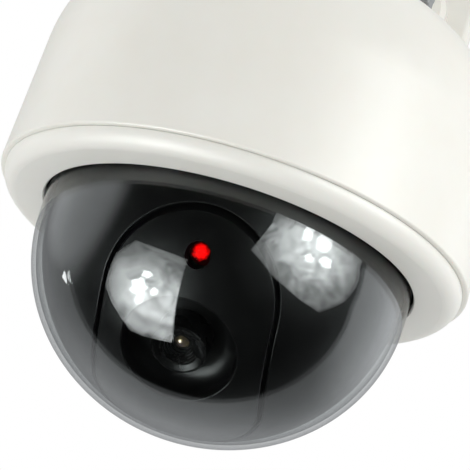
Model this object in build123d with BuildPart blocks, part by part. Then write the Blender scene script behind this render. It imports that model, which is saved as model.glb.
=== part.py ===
from build123d import *
from math import cos, hypot, radians, sin
import os

# Dome camera on a wall arm. Millimetres, +Z up. The origin is the centre of the wall plate's back face,
# the wall is the plane y = 0, and the camera hangs in front of it, on the -Y side.
# Heights in the housing ("level") are counted from the bezel's flat underside.

# ---------------------------------------------------------------- driving dimensions
REACH = 114.0               # wall to the camera's vertical axis
DROP = 112.0                # wall plate's centre down to the bezel's underside

LIP_RADIUS = 60.0           # housing's lower lip, the widest point
SEAM_RADIUS = 58.6          # bezel's outside where it meets the housing
SEAM_HEIGHT = 4.4
DRAFT = 2.38                # degrees, the housing narrows upwards
SHOULDER_START = 38.0
SHOULDER_RADIUS = 33.0
WALL = 2.6                  # housing wall

OPENING_RADIUS = 47.4       # hole in the bezel
DOME_RADIUS = 46.8          # dome's half width
DOME_DEPTH = 43.0           # dome's half axis, downwards
DOME_HEIGHT = -5.5          # level of the dome's widest circle
DOME_WALL = 1.2
FLANGE_RADIUS = 49.8

HEAD_RADIUS = 44.8          # black liner
HEAD_HEIGHT = -2.1          # level of the liner's centre
HEAD_WALL = 1.8
PANEL_PITCH = 56.0          # degrees, the panel and the lens look this far below level
PANEL_SPACING = 27.4        # between the centres of the panel's two round ends
PANEL_HALF_WIDTH = 20.2
PANEL_GROOVE = 1.0
GROOVE_EDGE = 0.3           # rounding of the groove's two edges
LENS_OFFSET = 3.0           # lens axis above the panel's middle
RECESS_RADIUS = 14.0
LED_PITCH = 19.5            # degrees below level
LED_RADIUS = 2.5

ARM_WIDTH = 38.0
ARM_DEPTH = 30.0
PLATE_WIDTH = 65.0
PLATE_HEIGHT = 95.0
PLATE_THICKNESS = 6.0

RUNNING_FIT = 0.06          # radial clearance of the turning fits

# ---------------------------------------------------------------- frames and small helpers
AXIS = Axis((0, -REACH, -DROP), (0, 0, 1))
SECTION = Plane(origin=(0, -REACH, -DROP), x_dir=(1, 0, 0), z_dir=(0, -1, 0))
HEAD_CENTRE = Vector(0, -REACH, HEAD_HEIGHT - DROP)


def level(height):
    """Horizontal plane on the camera's axis, at a height above the bezel's underside."""
    return Plane(origin=(0, -REACH, height - DROP))


def looking(pitch, distance=0.0, rise=0.0):
    """Plane facing out of the head, pitch degrees below level, distance from the head's centre.

    rise moves it up the head, square to its own direction.
    """
    forward = Vector(0, -cos(radians(pitch)), -sin(radians(pitch)))
    upward = Vector(0, -sin(radians(pitch)), cos(radians(pitch)))
    origin = HEAD_CENTRE + forward * distance + upward * rise
    return Plane(origin=origin, x_dir=(1, 0, 0), z_dir=forward)


def turned(*points):
    """Solid of revolution about the camera's axis, from (radius, height) corners."""
    with BuildPart() as piece:
        with BuildSketch(SECTION):
            with BuildLine():
                Polyline(*points, close=True)
            make_face()
        revolve(axis=AXIS)
    return piece.part


def ring_sector(inner, outer, middle_angle, width_angle):
    """Part of a flat ring, its middle at middle_angle degrees from +X."""
    with BuildSketch() as sector:
        with BuildLine():
            near = CenterArc((0, 0), inner, middle_angle - width_angle / 2, width_angle)
            far = CenterArc((0, 0), outer, middle_angle - width_angle / 2, width_angle)
            Line(near @ 0, far @ 0)
            Line(near @ 1, far @ 1)
        make_face()
    return sector.sketch


def save(piece, label):
    """Name a finished piece and write its STEP file."""
    piece.part.label = label
    export_step(piece.part, f"parts/{label}.step")


os.makedirs("parts", exist_ok=True)

# ================================================================ wall bracket
HOLE_SPACING_X = 45.0
HOLE_SPACING_Z = 75.0
WALL_HOLE = 2.5             # radius
WALL_HOLE_SINK = 4.8
PLATE_CORNER = 9.0
PLATE_EDGE = 2.4
FOOT_WIDTH = 50.0           # the arm's flange on the plate
FOOT_HEIGHT = 44.0
FOOT_THICKNESS = 5.0
FOOT_SCREW_X = 24.0
FOOT_SCREW_Z = 16.0
FOOT_CORNER = 10.0
FOOT_STEP = 0.5             # flange's raised middle, in from its outline
FOOT_CROWN = 1.6
FOOT_POST = 3.6             # radius of the posts that take the arm's screws
FOOT_POST_LENGTH = 12.0
FOOT_SCREW_RADIUS = 1.65
FOOT_SCREW_LENGTH = 15.0
FOOT_SCREW_BORE = 10.4      # its depth in the post
FOOT_HEAD_RADIUS = 3.4
FOOT_HEAD_DEPTH = 1.9
FOOT_HEAD_SUNK = 0.3
ARM_CORNER = 12.0
ARM_WALL = 3.0
BEND_RADIUS = 26.0
SOCKET_RADIUS = 20.5
SOCKET_BOTTOM = 75.9
SOCKET_TOP = 97.0
NECK_RADIUS = 14.0
LOCK_LEVEL = 85.5           # clamping screw's height
GROOVE_HALF = 2.8
GROOVE_RADIUS = 12.6
SOCKET_ROUND = 2.0
SOCKET_BORE = 19.6          # its depth
NUT_PLACE = 15.3            # clamping nut's distance from the camera's axis
NUT_HALF = 4.0              # half its width across the flats
NUT_THICKNESS = 3.4
NUT_PLAY = 0.1
LOCK_RADIUS = 2.4
LOCK_TIP = 12.95
LOCK_LENGTH = 12.0
LOCK_HEAD = 24.0
KNOB_FOOT = 21.2
KNOB_RADIUS = 9.0
KNOB_LENGTH = 9.0
KNOB_FLUTES = 12
KNOB_FLUTE_RADIUS = 1.7
KNOB_FLUTE_CIRCLE = 9.9
KNOB_EDGE = 0.8

WALL_PLANE = Plane(origin=(0, 0, 0), x_dir=(1, 0, 0), z_dir=(0, -1, 0))
PLATE_FACE = WALL_PLANE.offset(PLATE_THICKNESS)
LOCK_PLANE = Plane(origin=(0, -REACH, LOCK_LEVEL - DROP), x_dir=(0, 1, 0), z_dir=(1, 0, 0))

# Plate: screwed flat to the wall, the arm's flange sits on its front
with BuildPart() as wall_plate:
    with BuildSketch(WALL_PLANE):
        RectangleRounded(PLATE_WIDTH, PLATE_HEIGHT, PLATE_CORNER)
    extrude(amount=PLATE_THICKNESS)
    fillet(wall_plate.faces().sort_by(Axis.Y)[0].edges(), PLATE_EDGE)
    with Locations(PLATE_FACE):
        with GridLocations(HOLE_SPACING_X, HOLE_SPACING_Z, 2, 2):
            CounterSinkHole(WALL_HOLE, WALL_HOLE_SINK)
    with Locations(WALL_PLANE.rotated((180, 0, 0))):
        with GridLocations(FOOT_SCREW_X, FOOT_SCREW_Z, 2, 2):
            CounterSinkHole(FOOT_SCREW_RADIUS + 0.45, FOOT_HEAD_RADIUS + 0.5)
save(wall_plate, "wall_plate")

# Arm: hollow, out from the wall and down to a round socket
ARM_START = Plane(origin=(0, -REACH, -BEND_RADIUS), x_dir=(1, 0, 0), z_dir=(0, 0, 1))
with BuildPart() as bracket_arm:
    with BuildLine(Plane.YZ) as arm_path:
        bend = CenterArc((BEND_RADIUS - REACH, -BEND_RADIUS), BEND_RADIUS, 180, -90)
        Line(bend @ 1, (-PLATE_THICKNESS, 0))
    with BuildSketch(ARM_START):
        RectangleRounded(ARM_WIDTH, ARM_DEPTH, ARM_CORNER)
    sweep(path=arm_path.line)
    with BuildSketch(PLATE_FACE):
        RectangleRounded(FOOT_WIDTH, FOOT_HEIGHT, FOOT_CORNER)
    extrude(amount=FOOT_THICKNESS)
    with BuildSketch(level(SOCKET_BOTTOM)):
        Circle(SOCKET_RADIUS)
    extrude(amount=SOCKET_TOP - SOCKET_BOTTOM - SOCKET_ROUND)
    with BuildSketch(level(SOCKET_TOP - SOCKET_ROUND)):
        Circle(SOCKET_RADIUS)
    extrude(amount=SOCKET_ROUND, taper=40)
    with BuildSketch(PLATE_FACE.offset(FOOT_THICKNESS)):
        RectangleRounded(FOOT_WIDTH - 2 * FOOT_STEP, FOOT_HEIGHT - 2 * FOOT_STEP, FOOT_CORNER - FOOT_STEP)
    extrude(amount=FOOT_CROWN, taper=45)
    # the hollow
    with BuildSketch(ARM_START):
        RectangleRounded(ARM_WIDTH - 2 * ARM_WALL, ARM_DEPTH - 2 * ARM_WALL, ARM_CORNER - ARM_WALL)
    sweep(path=arm_path.line, mode=Mode.SUBTRACT)
    # screw posts inside the wall end, blind from the plate
    with BuildSketch(PLATE_FACE):
        with GridLocations(FOOT_SCREW_X, FOOT_SCREW_Z, 2, 2):
            Circle(FOOT_POST)
    extrude(amount=FOOT_POST_LENGTH)
    with BuildSketch(PLATE_FACE):
        with GridLocations(FOOT_SCREW_X, FOOT_SCREW_Z, 2, 2):
            Circle(FOOT_SCREW_RADIUS + 0.05)
    extrude(amount=FOOT_SCREW_BORE, mode=Mode.SUBTRACT)
    # bore for the neck, clearance for the clamping screw and a pocket for its nut
    with BuildSketch(level(SOCKET_BOTTOM)):
        Circle(NECK_RADIUS + RUNNING_FIT)
    extrude(amount=SOCKET_BORE, mode=Mode.SUBTRACT)
    with BuildSketch(LOCK_PLANE):
        Circle(LOCK_RADIUS + 0.3)
    extrude(amount=ARM_DEPTH, mode=Mode.SUBTRACT)
    with BuildSketch(LOCK_PLANE.offset(NUT_PLACE - NUT_PLAY)):
        RegularPolygon(NUT_HALF + NUT_PLAY, 6, major_radius=False)
    extrude(amount=NUT_THICKNESS + 2 * NUT_PLAY, mode=Mode.SUBTRACT)
save(bracket_arm, "bracket_arm")

with BuildPart() as arm_screws:
    with BuildSketch(WALL_PLANE.offset(FOOT_HEAD_SUNK)):
        with GridLocations(FOOT_SCREW_X, FOOT_SCREW_Z, 2, 2):
            Circle(FOOT_HEAD_RADIUS)
    extrude(amount=FOOT_HEAD_DEPTH, taper=40)
    with BuildSketch(WALL_PLANE.offset(FOOT_HEAD_SUNK)):
        with GridLocations(FOOT_SCREW_X, FOOT_SCREW_Z, 2, 2):
            Circle(FOOT_SCREW_RADIUS)
    extrude(amount=FOOT_SCREW_LENGTH)
save(arm_screws, "arm_screws")

# Clamping screw on the arm's right side: nut held in the socket, screw and knob turn together
with BuildPart() as clamp_nut:
    with BuildSketch(LOCK_PLANE.offset(NUT_PLACE)):
        RegularPolygon(NUT_HALF, 6, major_radius=False)
        Circle(LOCK_RADIUS + 0.05, mode=Mode.SUBTRACT)
    extrude(amount=NUT_THICKNESS)
save(clamp_nut, "clamp_nut")

with BuildPart() as lock_screw:
    with BuildSketch(LOCK_PLANE.offset(LOCK_TIP)):
        Circle(LOCK_RADIUS)
    extrude(amount=LOCK_LENGTH)
    with BuildSketch(LOCK_PLANE.offset(LOCK_HEAD)):
        RegularPolygon(NUT_HALF, 6, major_radius=False)
    extrude(amount=NUT_THICKNESS)
    chamfer(lock_screw.faces().sort_by(Axis.X)[0].edges(), 0.5)
save(lock_screw, "lock_screw")

with BuildPart() as lock_knob:
    with BuildSketch(LOCK_PLANE.offset(KNOB_FOOT)):
        Circle(KNOB_RADIUS)
        with PolarLocations(KNOB_FLUTE_CIRCLE, KNOB_FLUTES):
            Circle(KNOB_FLUTE_RADIUS, mode=Mode.SUBTRACT)
    extrude(amount=KNOB_LENGTH)
    with BuildSketch(LOCK_PLANE.offset(KNOB_FOOT)):
        Circle(LOCK_RADIUS + 0.2)
    extrude(amount=LOCK_HEAD - KNOB_FOOT, mode=Mode.SUBTRACT)
    with BuildSketch(LOCK_PLANE.offset(LOCK_HEAD)):
        RegularPolygon(NUT_HALF, 6, major_radius=False)
    extrude(amount=NUT_THICKNESS, mode=Mode.SUBTRACT)
    fillet(lock_knob.faces().sort_by(Axis.X)[-1].edges(), KNOB_EDGE)
save(lock_knob, "lock_knob")

# ================================================================ swivel between arm and housing
TOP_LEVEL = SHOULDER_START + SHOULDER_RADIUS * (1 - sin(radians(DRAFT)))
NECK_FLANGE_TOP = SOCKET_BOTTOM - 0.7
NECK_SCREW_CIRCLE = 18.5
NECK_FLANGE_RADIUS = 24.0
NECK_FLANGE_EDGE = 0.8
NECK_TOP = 92.5
NECK_TOP_EDGE = 0.9
CABLE_HOLE = 9.5
SWIVEL_WASHER = 0.6
NECK_SCREW_RADIUS = 1.2
NECK_SCREW_DEPTH = 3.4      # in the flange
NECK_HEAD_RADIUS = 2.8
NECK_HEAD_HEIGHT = 1.7

with BuildPart() as neck_tube:
    add(turned(
        (CABLE_HOLE, TOP_LEVEL), (NECK_FLANGE_RADIUS, TOP_LEVEL),
        (NECK_FLANGE_RADIUS, NECK_FLANGE_TOP - NECK_FLANGE_EDGE),
        (NECK_FLANGE_RADIUS - NECK_FLANGE_EDGE, NECK_FLANGE_TOP),
        (NECK_RADIUS, NECK_FLANGE_TOP), (NECK_RADIUS, LOCK_LEVEL - GROOVE_HALF),
        (GROOVE_RADIUS, LOCK_LEVEL - GROOVE_HALF), (GROOVE_RADIUS, LOCK_LEVEL + GROOVE_HALF),
        (NECK_RADIUS, LOCK_LEVEL + GROOVE_HALF), (NECK_RADIUS, NECK_TOP - NECK_TOP_EDGE),
        (NECK_RADIUS - NECK_TOP_EDGE, NECK_TOP), (CABLE_HOLE, NECK_TOP)))
    with Locations(level(TOP_LEVEL)):
        with PolarLocations(NECK_SCREW_CIRCLE, 3, start_angle=30):
            Cylinder(NECK_SCREW_RADIUS + 0.05, NECK_SCREW_DEPTH + 0.2,
                     align=(Align.CENTER, Align.CENTER, Align.MIN), mode=Mode.SUBTRACT)
save(neck_tube, "neck_tube")

with BuildPart() as swivel_washer:
    with BuildSketch(level(NECK_FLANGE_TOP)):
        Circle(SOCKET_RADIUS)
        Circle(NECK_RADIUS + 0.3, mode=Mode.SUBTRACT)
    extrude(amount=SWIVEL_WASHER)
save(swivel_washer, "swivel_washer")

with BuildPart() as neck_screws:
    with Locations(level(TOP_LEVEL - WALL)):
        with PolarLocations(NECK_SCREW_CIRCLE, 3, start_angle=30):
            Cylinder(NECK_SCREW_RADIUS, WALL + NECK_SCREW_DEPTH,
                     align=(Align.CENTER, Align.CENTER, Align.MIN))
            Cylinder(NECK_HEAD_RADIUS, NECK_HEAD_HEIGHT, align=(Align.CENTER, Align.CENTER, Align.MAX))
save(neck_screws, "neck_screws")

# ================================================================ housing
HOOK_WIDTH = 20.0           # degrees, bayonet hooks and lugs
LUG_WIDTH = 18.0
HOOK_ANGLES = (30, 150, 270)
HOOK_BOTTOM = 7.0
HOOK_TOP = 9.0
HOOK_INNER = 55.9
HOOK_OUTER = 57.6
HOOK_STOP_WIDTH = 3.0       # degrees
HOOK_STOP_HEIGHT = 4.2
LIP_EDGE = 0.5
CHASSIS_BOTTOM = 12.0
CHASSIS_TOP = 14.5
CHASSIS_SCREW_CIRCLE = 50.0
CHASSIS_RADIUS = 54.0
CHASSIS_POST = 4.0
CHASSIS_POST_LENGTH = 18.0
CHASSIS_SCREW_RADIUS = 1.2
CHASSIS_SCREW_LENGTH = 11.5
CHASSIS_HEAD_RADIUS = 2.6
CHASSIS_HEAD_HEIGHT = 1.8


def housing_outline(inset):
    """Half section of the housing: lip, drafted wall and shoulder, moved inwards by inset."""
    slope = radians(DRAFT)
    wall_foot = LIP_RADIUS - inset
    wall_head = wall_foot - (SHOULDER_START - SEAM_HEIGHT) * sin(slope)
    roll = SHOULDER_RADIUS - inset
    roof_radius = wall_head - roll * cos(slope)
    roof = TOP_LEVEL - inset
    with BuildSketch(SECTION) as half:
        with BuildLine():
            Line((0, SEAM_HEIGHT), (wall_foot, SEAM_HEIGHT))
            Line((wall_foot, SEAM_HEIGHT), (wall_head, SHOULDER_START))
            RadiusArc((wall_head, SHOULDER_START), (roof_radius, roof), -roll)
            Line((roof_radius, roof), (0, roof))
            Line((0, roof), (0, SEAM_HEIGHT))
        make_face()
    return half.sketch


with BuildPart() as housing_shell:
    add(housing_outline(0))
    revolve(axis=AXIS)
    fillet(housing_shell.faces().sort_by(Axis.Z)[0].edges(), LIP_EDGE)
    add(housing_outline(WALL))
    revolve(axis=AXIS, mode=Mode.SUBTRACT)
    # cable and screw holes in the roof
    with BuildSketch(level(TOP_LEVEL)):
        Circle(CABLE_HOLE)
        with PolarLocations(NECK_SCREW_CIRCLE, 3, start_angle=30):
            Circle(NECK_SCREW_RADIUS + 0.3)
    extrude(amount=-WALL, mode=Mode.SUBTRACT)
    # three bayonet hooks, each with a stop at one end
    with BuildSketch(level(HOOK_BOTTOM)):
        for angle in HOOK_ANGLES:
            add(ring_sector(HOOK_INNER, HOOK_OUTER, angle, HOOK_WIDTH))
    extrude(amount=HOOK_TOP - HOOK_BOTTOM)
    with BuildSketch(level(HOOK_BOTTOM)):
        for angle in HOOK_ANGLES:
            stop_angle = angle + LUG_WIDTH / 2 + 2.2
            add(ring_sector(HOOK_INNER, HOOK_OUTER, stop_angle, HOOK_STOP_WIDTH))
    extrude(amount=HOOK_STOP_HEIGHT)
    # four screw posts for the chassis
    for turn in range(4):
        post = level(CHASSIS_TOP).rotated((0, 0, 45 + 90 * turn))
        with BuildSketch(post):
            with Locations((CHASSIS_SCREW_CIRCLE, 0)):
                Circle(CHASSIS_POST)
            with Locations((CHASSIS_SCREW_CIRCLE + 3.6, 0)):
                Rectangle(6.6, 4.0)
        extrude(amount=CHASSIS_POST_LENGTH)
        with BuildSketch(post):
            with Locations((CHASSIS_SCREW_CIRCLE, 0)):
                Circle(CHASSIS_SCREW_RADIUS + 0.05)
        extrude(amount=CHASSIS_SCREW_LENGTH - 1.5, mode=Mode.SUBTRACT)
save(housing_shell, "housing_shell")

# Chassis: carries the turntable below and the battery box and board above
HUB_RADIUS = 8.0
BOARD_Y = -30.0             # flasher board's middle, in front of the camera's axis
BOARD_SCREWS_X = 34.0       # spacing of its four screws
BOARD_SCREWS_Y = 20.0
BOARD_POST = 2.6
BOARD_POST_LENGTH = 5.0
BOARD_SCREW_RADIUS = 0.95
STOP_INNER = 30.0
STOP_OUTER = 34.0
STOP_WIDTH = 8.0            # degrees
STOP_HEIGHT = 1.1
with BuildPart() as chassis_plate:
    with BuildSketch(level(CHASSIS_BOTTOM)):
        Circle(CHASSIS_RADIUS)
        with PolarLocations(CHASSIS_SCREW_CIRCLE, 4, start_angle=45):
            Circle(CHASSIS_SCREW_RADIUS + 0.4, mode=Mode.SUBTRACT)
    extrude(amount=CHASSIS_TOP - CHASSIS_BOTTOM)
    # collar round the hub, and posts for the board
    with BuildSketch(level(CHASSIS_TOP)):
        Circle(HUB_RADIUS + 4)
    extrude(amount=BOARD_POST_LENGTH / 2)
    with BuildSketch(level(CHASSIS_TOP)):
        with Locations((0, BOARD_Y)):
            with GridLocations(BOARD_SCREWS_X, BOARD_SCREWS_Y, 2, 2):
                Circle(BOARD_POST)
    extrude(amount=BOARD_POST_LENGTH)
    with BuildSketch(level(CHASSIS_BOTTOM)):
        Circle(HUB_RADIUS + RUNNING_FIT)
        with Locations((0, BOARD_Y)):
            with GridLocations(BOARD_SCREWS_X, BOARD_SCREWS_Y, 2, 2):
                Circle(BOARD_SCREW_RADIUS + 0.05)
    extrude(amount=10, mode=Mode.SUBTRACT)
    # stop that limits the head's turn
    with BuildSketch(level(CHASSIS_BOTTOM - STOP_HEIGHT)):
        add(ring_sector(STOP_INNER, STOP_OUTER, 90, STOP_WIDTH))
    extrude(amount=STOP_HEIGHT)
save(chassis_plate, "chassis_plate")

with BuildPart() as chassis_screws:
    with Locations(level(CHASSIS_BOTTOM)):
        with PolarLocations(CHASSIS_SCREW_CIRCLE, 4, start_angle=45):
            Cylinder(CHASSIS_SCREW_RADIUS, CHASSIS_SCREW_LENGTH,
                     align=(Align.CENTER, Align.CENTER, Align.MIN))
            Cylinder(CHASSIS_HEAD_RADIUS, CHASSIS_HEAD_HEIGHT,
                     align=(Align.CENTER, Align.CENTER, Align.MAX))
    with Locations(level(CHASSIS_BOTTOM - CHASSIS_HEAD_HEIGHT)):
        with PolarLocations(CHASSIS_SCREW_CIRCLE, 4, start_angle=45):
            Box(3.0, 0.7, 1.6, mode=Mode.SUBTRACT)
            Box(0.7, 3.0, 1.6, mode=Mode.SUBTRACT)
save(chassis_screws, "chassis_screws")

# ================================================================ bezel and dome, one bayonet cover
RIM_INNER = 54.2
RIM_OUTER = 55.4
LUG_BOTTOM = HOOK_TOP + 0.15
LUG_TOP = LUG_BOTTOM + 2.0
LUG_OUTER = 56.7
RETAINER_SCREW_CIRCLE = 52.0
RETAINER_SCREWS = 6
RETAINER_SCREW_RADIUS = 0.75
RETAINER_SCREW_LENGTH = 3.8
RETAINER_HEAD_RADIUS = 1.8
RETAINER_HEAD_HEIGHT = 1.3
RETAINER_THICKNESS = 1.2
RETAINER_POST = 2.1
BEZEL_THICKNESS = 2.2
BEZEL_ROUND = 3.9
OPENING_EDGE = 0.35
SEAM_GAP = 0.1
FLANGE_BOTTOM = 2.7
FLANGE_TOP = 4.2

with BuildPart() as bezel_ring:
    with BuildSketch(SECTION):
        with BuildLine():
            Line((OPENING_RADIUS, BEZEL_THICKNESS), (OPENING_RADIUS, OPENING_EDGE))
            Line((OPENING_RADIUS, OPENING_EDGE), (OPENING_RADIUS + OPENING_EDGE, 0))
            Line((OPENING_RADIUS + OPENING_EDGE, 0), (SEAM_RADIUS - BEZEL_ROUND, 0))
            RadiusArc((SEAM_RADIUS - BEZEL_ROUND, 0), (SEAM_RADIUS, BEZEL_ROUND), -BEZEL_ROUND)
            Polyline(
                (SEAM_RADIUS, BEZEL_ROUND), (SEAM_RADIUS, SEAM_HEIGHT - SEAM_GAP),
                (RIM_OUTER, SEAM_HEIGHT - SEAM_GAP), (RIM_OUTER, LUG_TOP), (RIM_INNER, LUG_TOP),
                (RIM_INNER, BEZEL_THICKNESS), (OPENING_RADIUS, BEZEL_THICKNESS))
        make_face()
    revolve(axis=AXIS)
    with BuildSketch(level(LUG_BOTTOM)):
        for angle in HOOK_ANGLES:
            add(ring_sector(RIM_OUTER - 0.4, LUG_OUTER, angle, LUG_WIDTH))
    extrude(amount=LUG_TOP - LUG_BOTTOM)
    with BuildSketch(level(BEZEL_THICKNESS)):
        with PolarLocations(RETAINER_SCREW_CIRCLE, RETAINER_SCREWS):
            Circle(RETAINER_POST)
    extrude(amount=FLANGE_TOP - BEZEL_THICKNESS)
    with BuildSketch(level(BEZEL_THICKNESS - 1)):
        with PolarLocations(RETAINER_SCREW_CIRCLE, RETAINER_SCREWS):
            Circle(RETAINER_SCREW_RADIUS + 0.05)
    extrude(amount=4, mode=Mode.SUBTRACT)
save(bezel_ring, "bezel_ring")


def dome_outline(inset):
    """Half section of the dome's bowl and collar, moved inwards by inset."""
    wide = DOME_RADIUS - inset
    with BuildSketch(SECTION) as half:
        with BuildLine():
            EllipticalCenterArc((0, DOME_HEIGHT), wide, DOME_DEPTH - inset, 270, arc_size=90)
            Line((wide, DOME_HEIGHT), (wide, FLANGE_TOP))
            Line((wide, FLANGE_TOP), (0, FLANGE_TOP))
            Line((0, FLANGE_TOP), (0, DOME_HEIGHT - DOME_DEPTH + inset))
        make_face()
    return half.sketch


with BuildPart() as dome:
    add(dome_outline(0))
    revolve(axis=AXIS)
    with BuildSketch(level(FLANGE_BOTTOM)):
        Circle(FLANGE_RADIUS)
    extrude(amount=FLANGE_TOP - FLANGE_BOTTOM)
    add(dome_outline(DOME_WALL))
    revolve(axis=AXIS, mode=Mode.SUBTRACT)
save(dome, "dome")

with BuildPart() as dome_gasket:
    with BuildSketch(level(BEZEL_THICKNESS)):
        Circle(FLANGE_RADIUS - 0.1)
        Circle(OPENING_RADIUS + 0.5, mode=Mode.SUBTRACT)
    extrude(amount=FLANGE_BOTTOM - BEZEL_THICKNESS)
save(dome_gasket, "dome_gasket")

with BuildPart() as dome_retainer:
    with BuildSketch(level(FLANGE_TOP)):
        Circle(RIM_INNER - 0.1)
        Circle(DOME_RADIUS - DOME_WALL + 0.4, mode=Mode.SUBTRACT)
        with PolarLocations(RETAINER_SCREW_CIRCLE, RETAINER_SCREWS):
            Circle(RETAINER_SCREW_RADIUS + 0.35, mode=Mode.SUBTRACT)
    extrude(amount=RETAINER_THICKNESS)
save(dome_retainer, "dome_retainer")

with BuildPart() as retainer_screws:
    with Locations(level(FLANGE_TOP + RETAINER_THICKNESS)):
        with PolarLocations(RETAINER_SCREW_CIRCLE, RETAINER_SCREWS):
            Cylinder(RETAINER_SCREW_RADIUS, RETAINER_SCREW_LENGTH,
                     align=(Align.CENTER, Align.CENTER, Align.MAX))
            Cylinder(RETAINER_HEAD_RADIUS, RETAINER_HEAD_HEIGHT,
                     align=(Align.CENTER, Align.CENTER, Align.MIN))
    with Locations(level(FLANGE_TOP + RETAINER_THICKNESS + RETAINER_HEAD_HEIGHT)):
        with PolarLocations(RETAINER_SCREW_CIRCLE, RETAINER_SCREWS):
            Box(2.4, 0.5, 1.2, mode=Mode.SUBTRACT)
            Box(0.5, 2.4, 1.2, mode=Mode.SUBTRACT)
save(retainer_screws, "retainer_screws")

# ================================================================ turning head
TABLE_BOTTOM = 8.5
TABLE_TOP = 10.5
LINER_SCREW_CIRCLE = 38.0
LINER_SCREW_ANGLES = (-30, 90, 210)
LINER_SCREW_RADIUS = 1.0
LINER_SCREW_LENGTH = 9.0
LINER_HEAD_RADIUS = 2.6
LINER_HEAD_DEPTH = 1.6
LINER_POST = 3.0
LINER_RIB = HEAD_RADIUS - HEAD_WALL / 2 - LINER_SCREW_CIRCLE   # from the post into the liner's wall
CLIP_BOTTOM = 17.4
CLIP_TOP = 18.4
CLIP_GROOVE = 0.9           # depth of the hub's groove
CLIP_PLAY = 0.1
CLIP_RADIUS = 10.8
HUB_TOP = 20.0
HUB_BORE = 5.2
TABLE_GAP = 0.6             # between the turntable's edge and the liner's outside
PAN_WASHER = 16.0

# Turntable: disc under the chassis on a hollow hub that turns in the chassis' bore
with BuildPart() as turntable:
    add(turned(
        (HUB_BORE, TABLE_BOTTOM), (HEAD_RADIUS - TABLE_GAP, TABLE_BOTTOM),
        (HEAD_RADIUS - TABLE_GAP, TABLE_TOP), (HUB_RADIUS, TABLE_TOP),
        (HUB_RADIUS, CLIP_BOTTOM - CLIP_PLAY), (HUB_RADIUS - CLIP_GROOVE, CLIP_BOTTOM - CLIP_PLAY),
        (HUB_RADIUS - CLIP_GROOVE, CLIP_TOP + CLIP_PLAY), (HUB_RADIUS, CLIP_TOP + CLIP_PLAY),
        (HUB_RADIUS, HUB_TOP - 0.6), (HUB_RADIUS - 0.6, HUB_TOP), (HUB_BORE, HUB_TOP)))
    with BuildSketch(level(TABLE_BOTTOM)):
        for middle in (30, 150, 270):
            add(ring_sector(20, 32, middle, 60))
    extrude(amount=TABLE_TOP - TABLE_BOTTOM, mode=Mode.SUBTRACT)
    with BuildSketch(level(TABLE_TOP)):
        add(ring_sector(STOP_INNER, STOP_OUTER, 270, STOP_WIDTH))
    extrude(amount=STOP_HEIGHT)
    with BuildSketch(level(TABLE_BOTTOM)):
        add(ring_sector(STOP_INNER, STOP_OUTER, 270, STOP_WIDTH))
    extrude(amount=TABLE_TOP - TABLE_BOTTOM)
    with Locations(level(TABLE_TOP)):
        for angle in LINER_SCREW_ANGLES:
            with PolarLocations(LINER_SCREW_CIRCLE, 1, start_angle=angle):
                CounterSinkHole(LINER_SCREW_RADIUS + 0.5, LINER_HEAD_RADIUS + 0.3)
save(turntable, "turntable")

with BuildPart() as pan_washer:
    with BuildSketch(level(TABLE_TOP + 0.1)):
        Circle(PAN_WASHER)
        Circle(HUB_RADIUS + 0.4, mode=Mode.SUBTRACT)
    extrude(amount=CHASSIS_BOTTOM - TABLE_TOP - 0.1)
save(pan_washer, "pan_washer")

with BuildPart() as pan_clip:
    with BuildSketch(level(CLIP_BOTTOM)):
        add(ring_sector(HUB_RADIUS - CLIP_GROOVE + 0.05, CLIP_RADIUS, 270, 300))
    extrude(amount=CLIP_TOP - CLIP_BOTTOM)
save(pan_clip, "pan_clip")


def stadium(growth):
    """Outline of the panel, grown outwards all round."""
    half_width = PANEL_HALF_WIDTH + growth
    with BuildSketch() as outline:
        SlotCenterToCenter(PANEL_SPACING, 2 * half_width, rotation=90)
    return outline.sketch


def outline_edges(piece, growth):
    """Edges on the head's outside that follow the panel's outline, grown by growth."""
    panel_plane = looking(PANEL_PITCH)

    def follows(edge):
        place = edge @ 0.5 - HEAD_CENTRE
        beyond = max(abs(place.dot(panel_plane.y_dir)) - PANEL_SPACING / 2, 0)
        reach = hypot(place.dot(panel_plane.x_dir), beyond)
        on_outline = abs(reach - PANEL_HALF_WIDTH - growth) < 0.05
        return on_outline and abs(place.length - HEAD_RADIUS) < 0.05

    return piece.edges().filter_by(follows)


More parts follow.
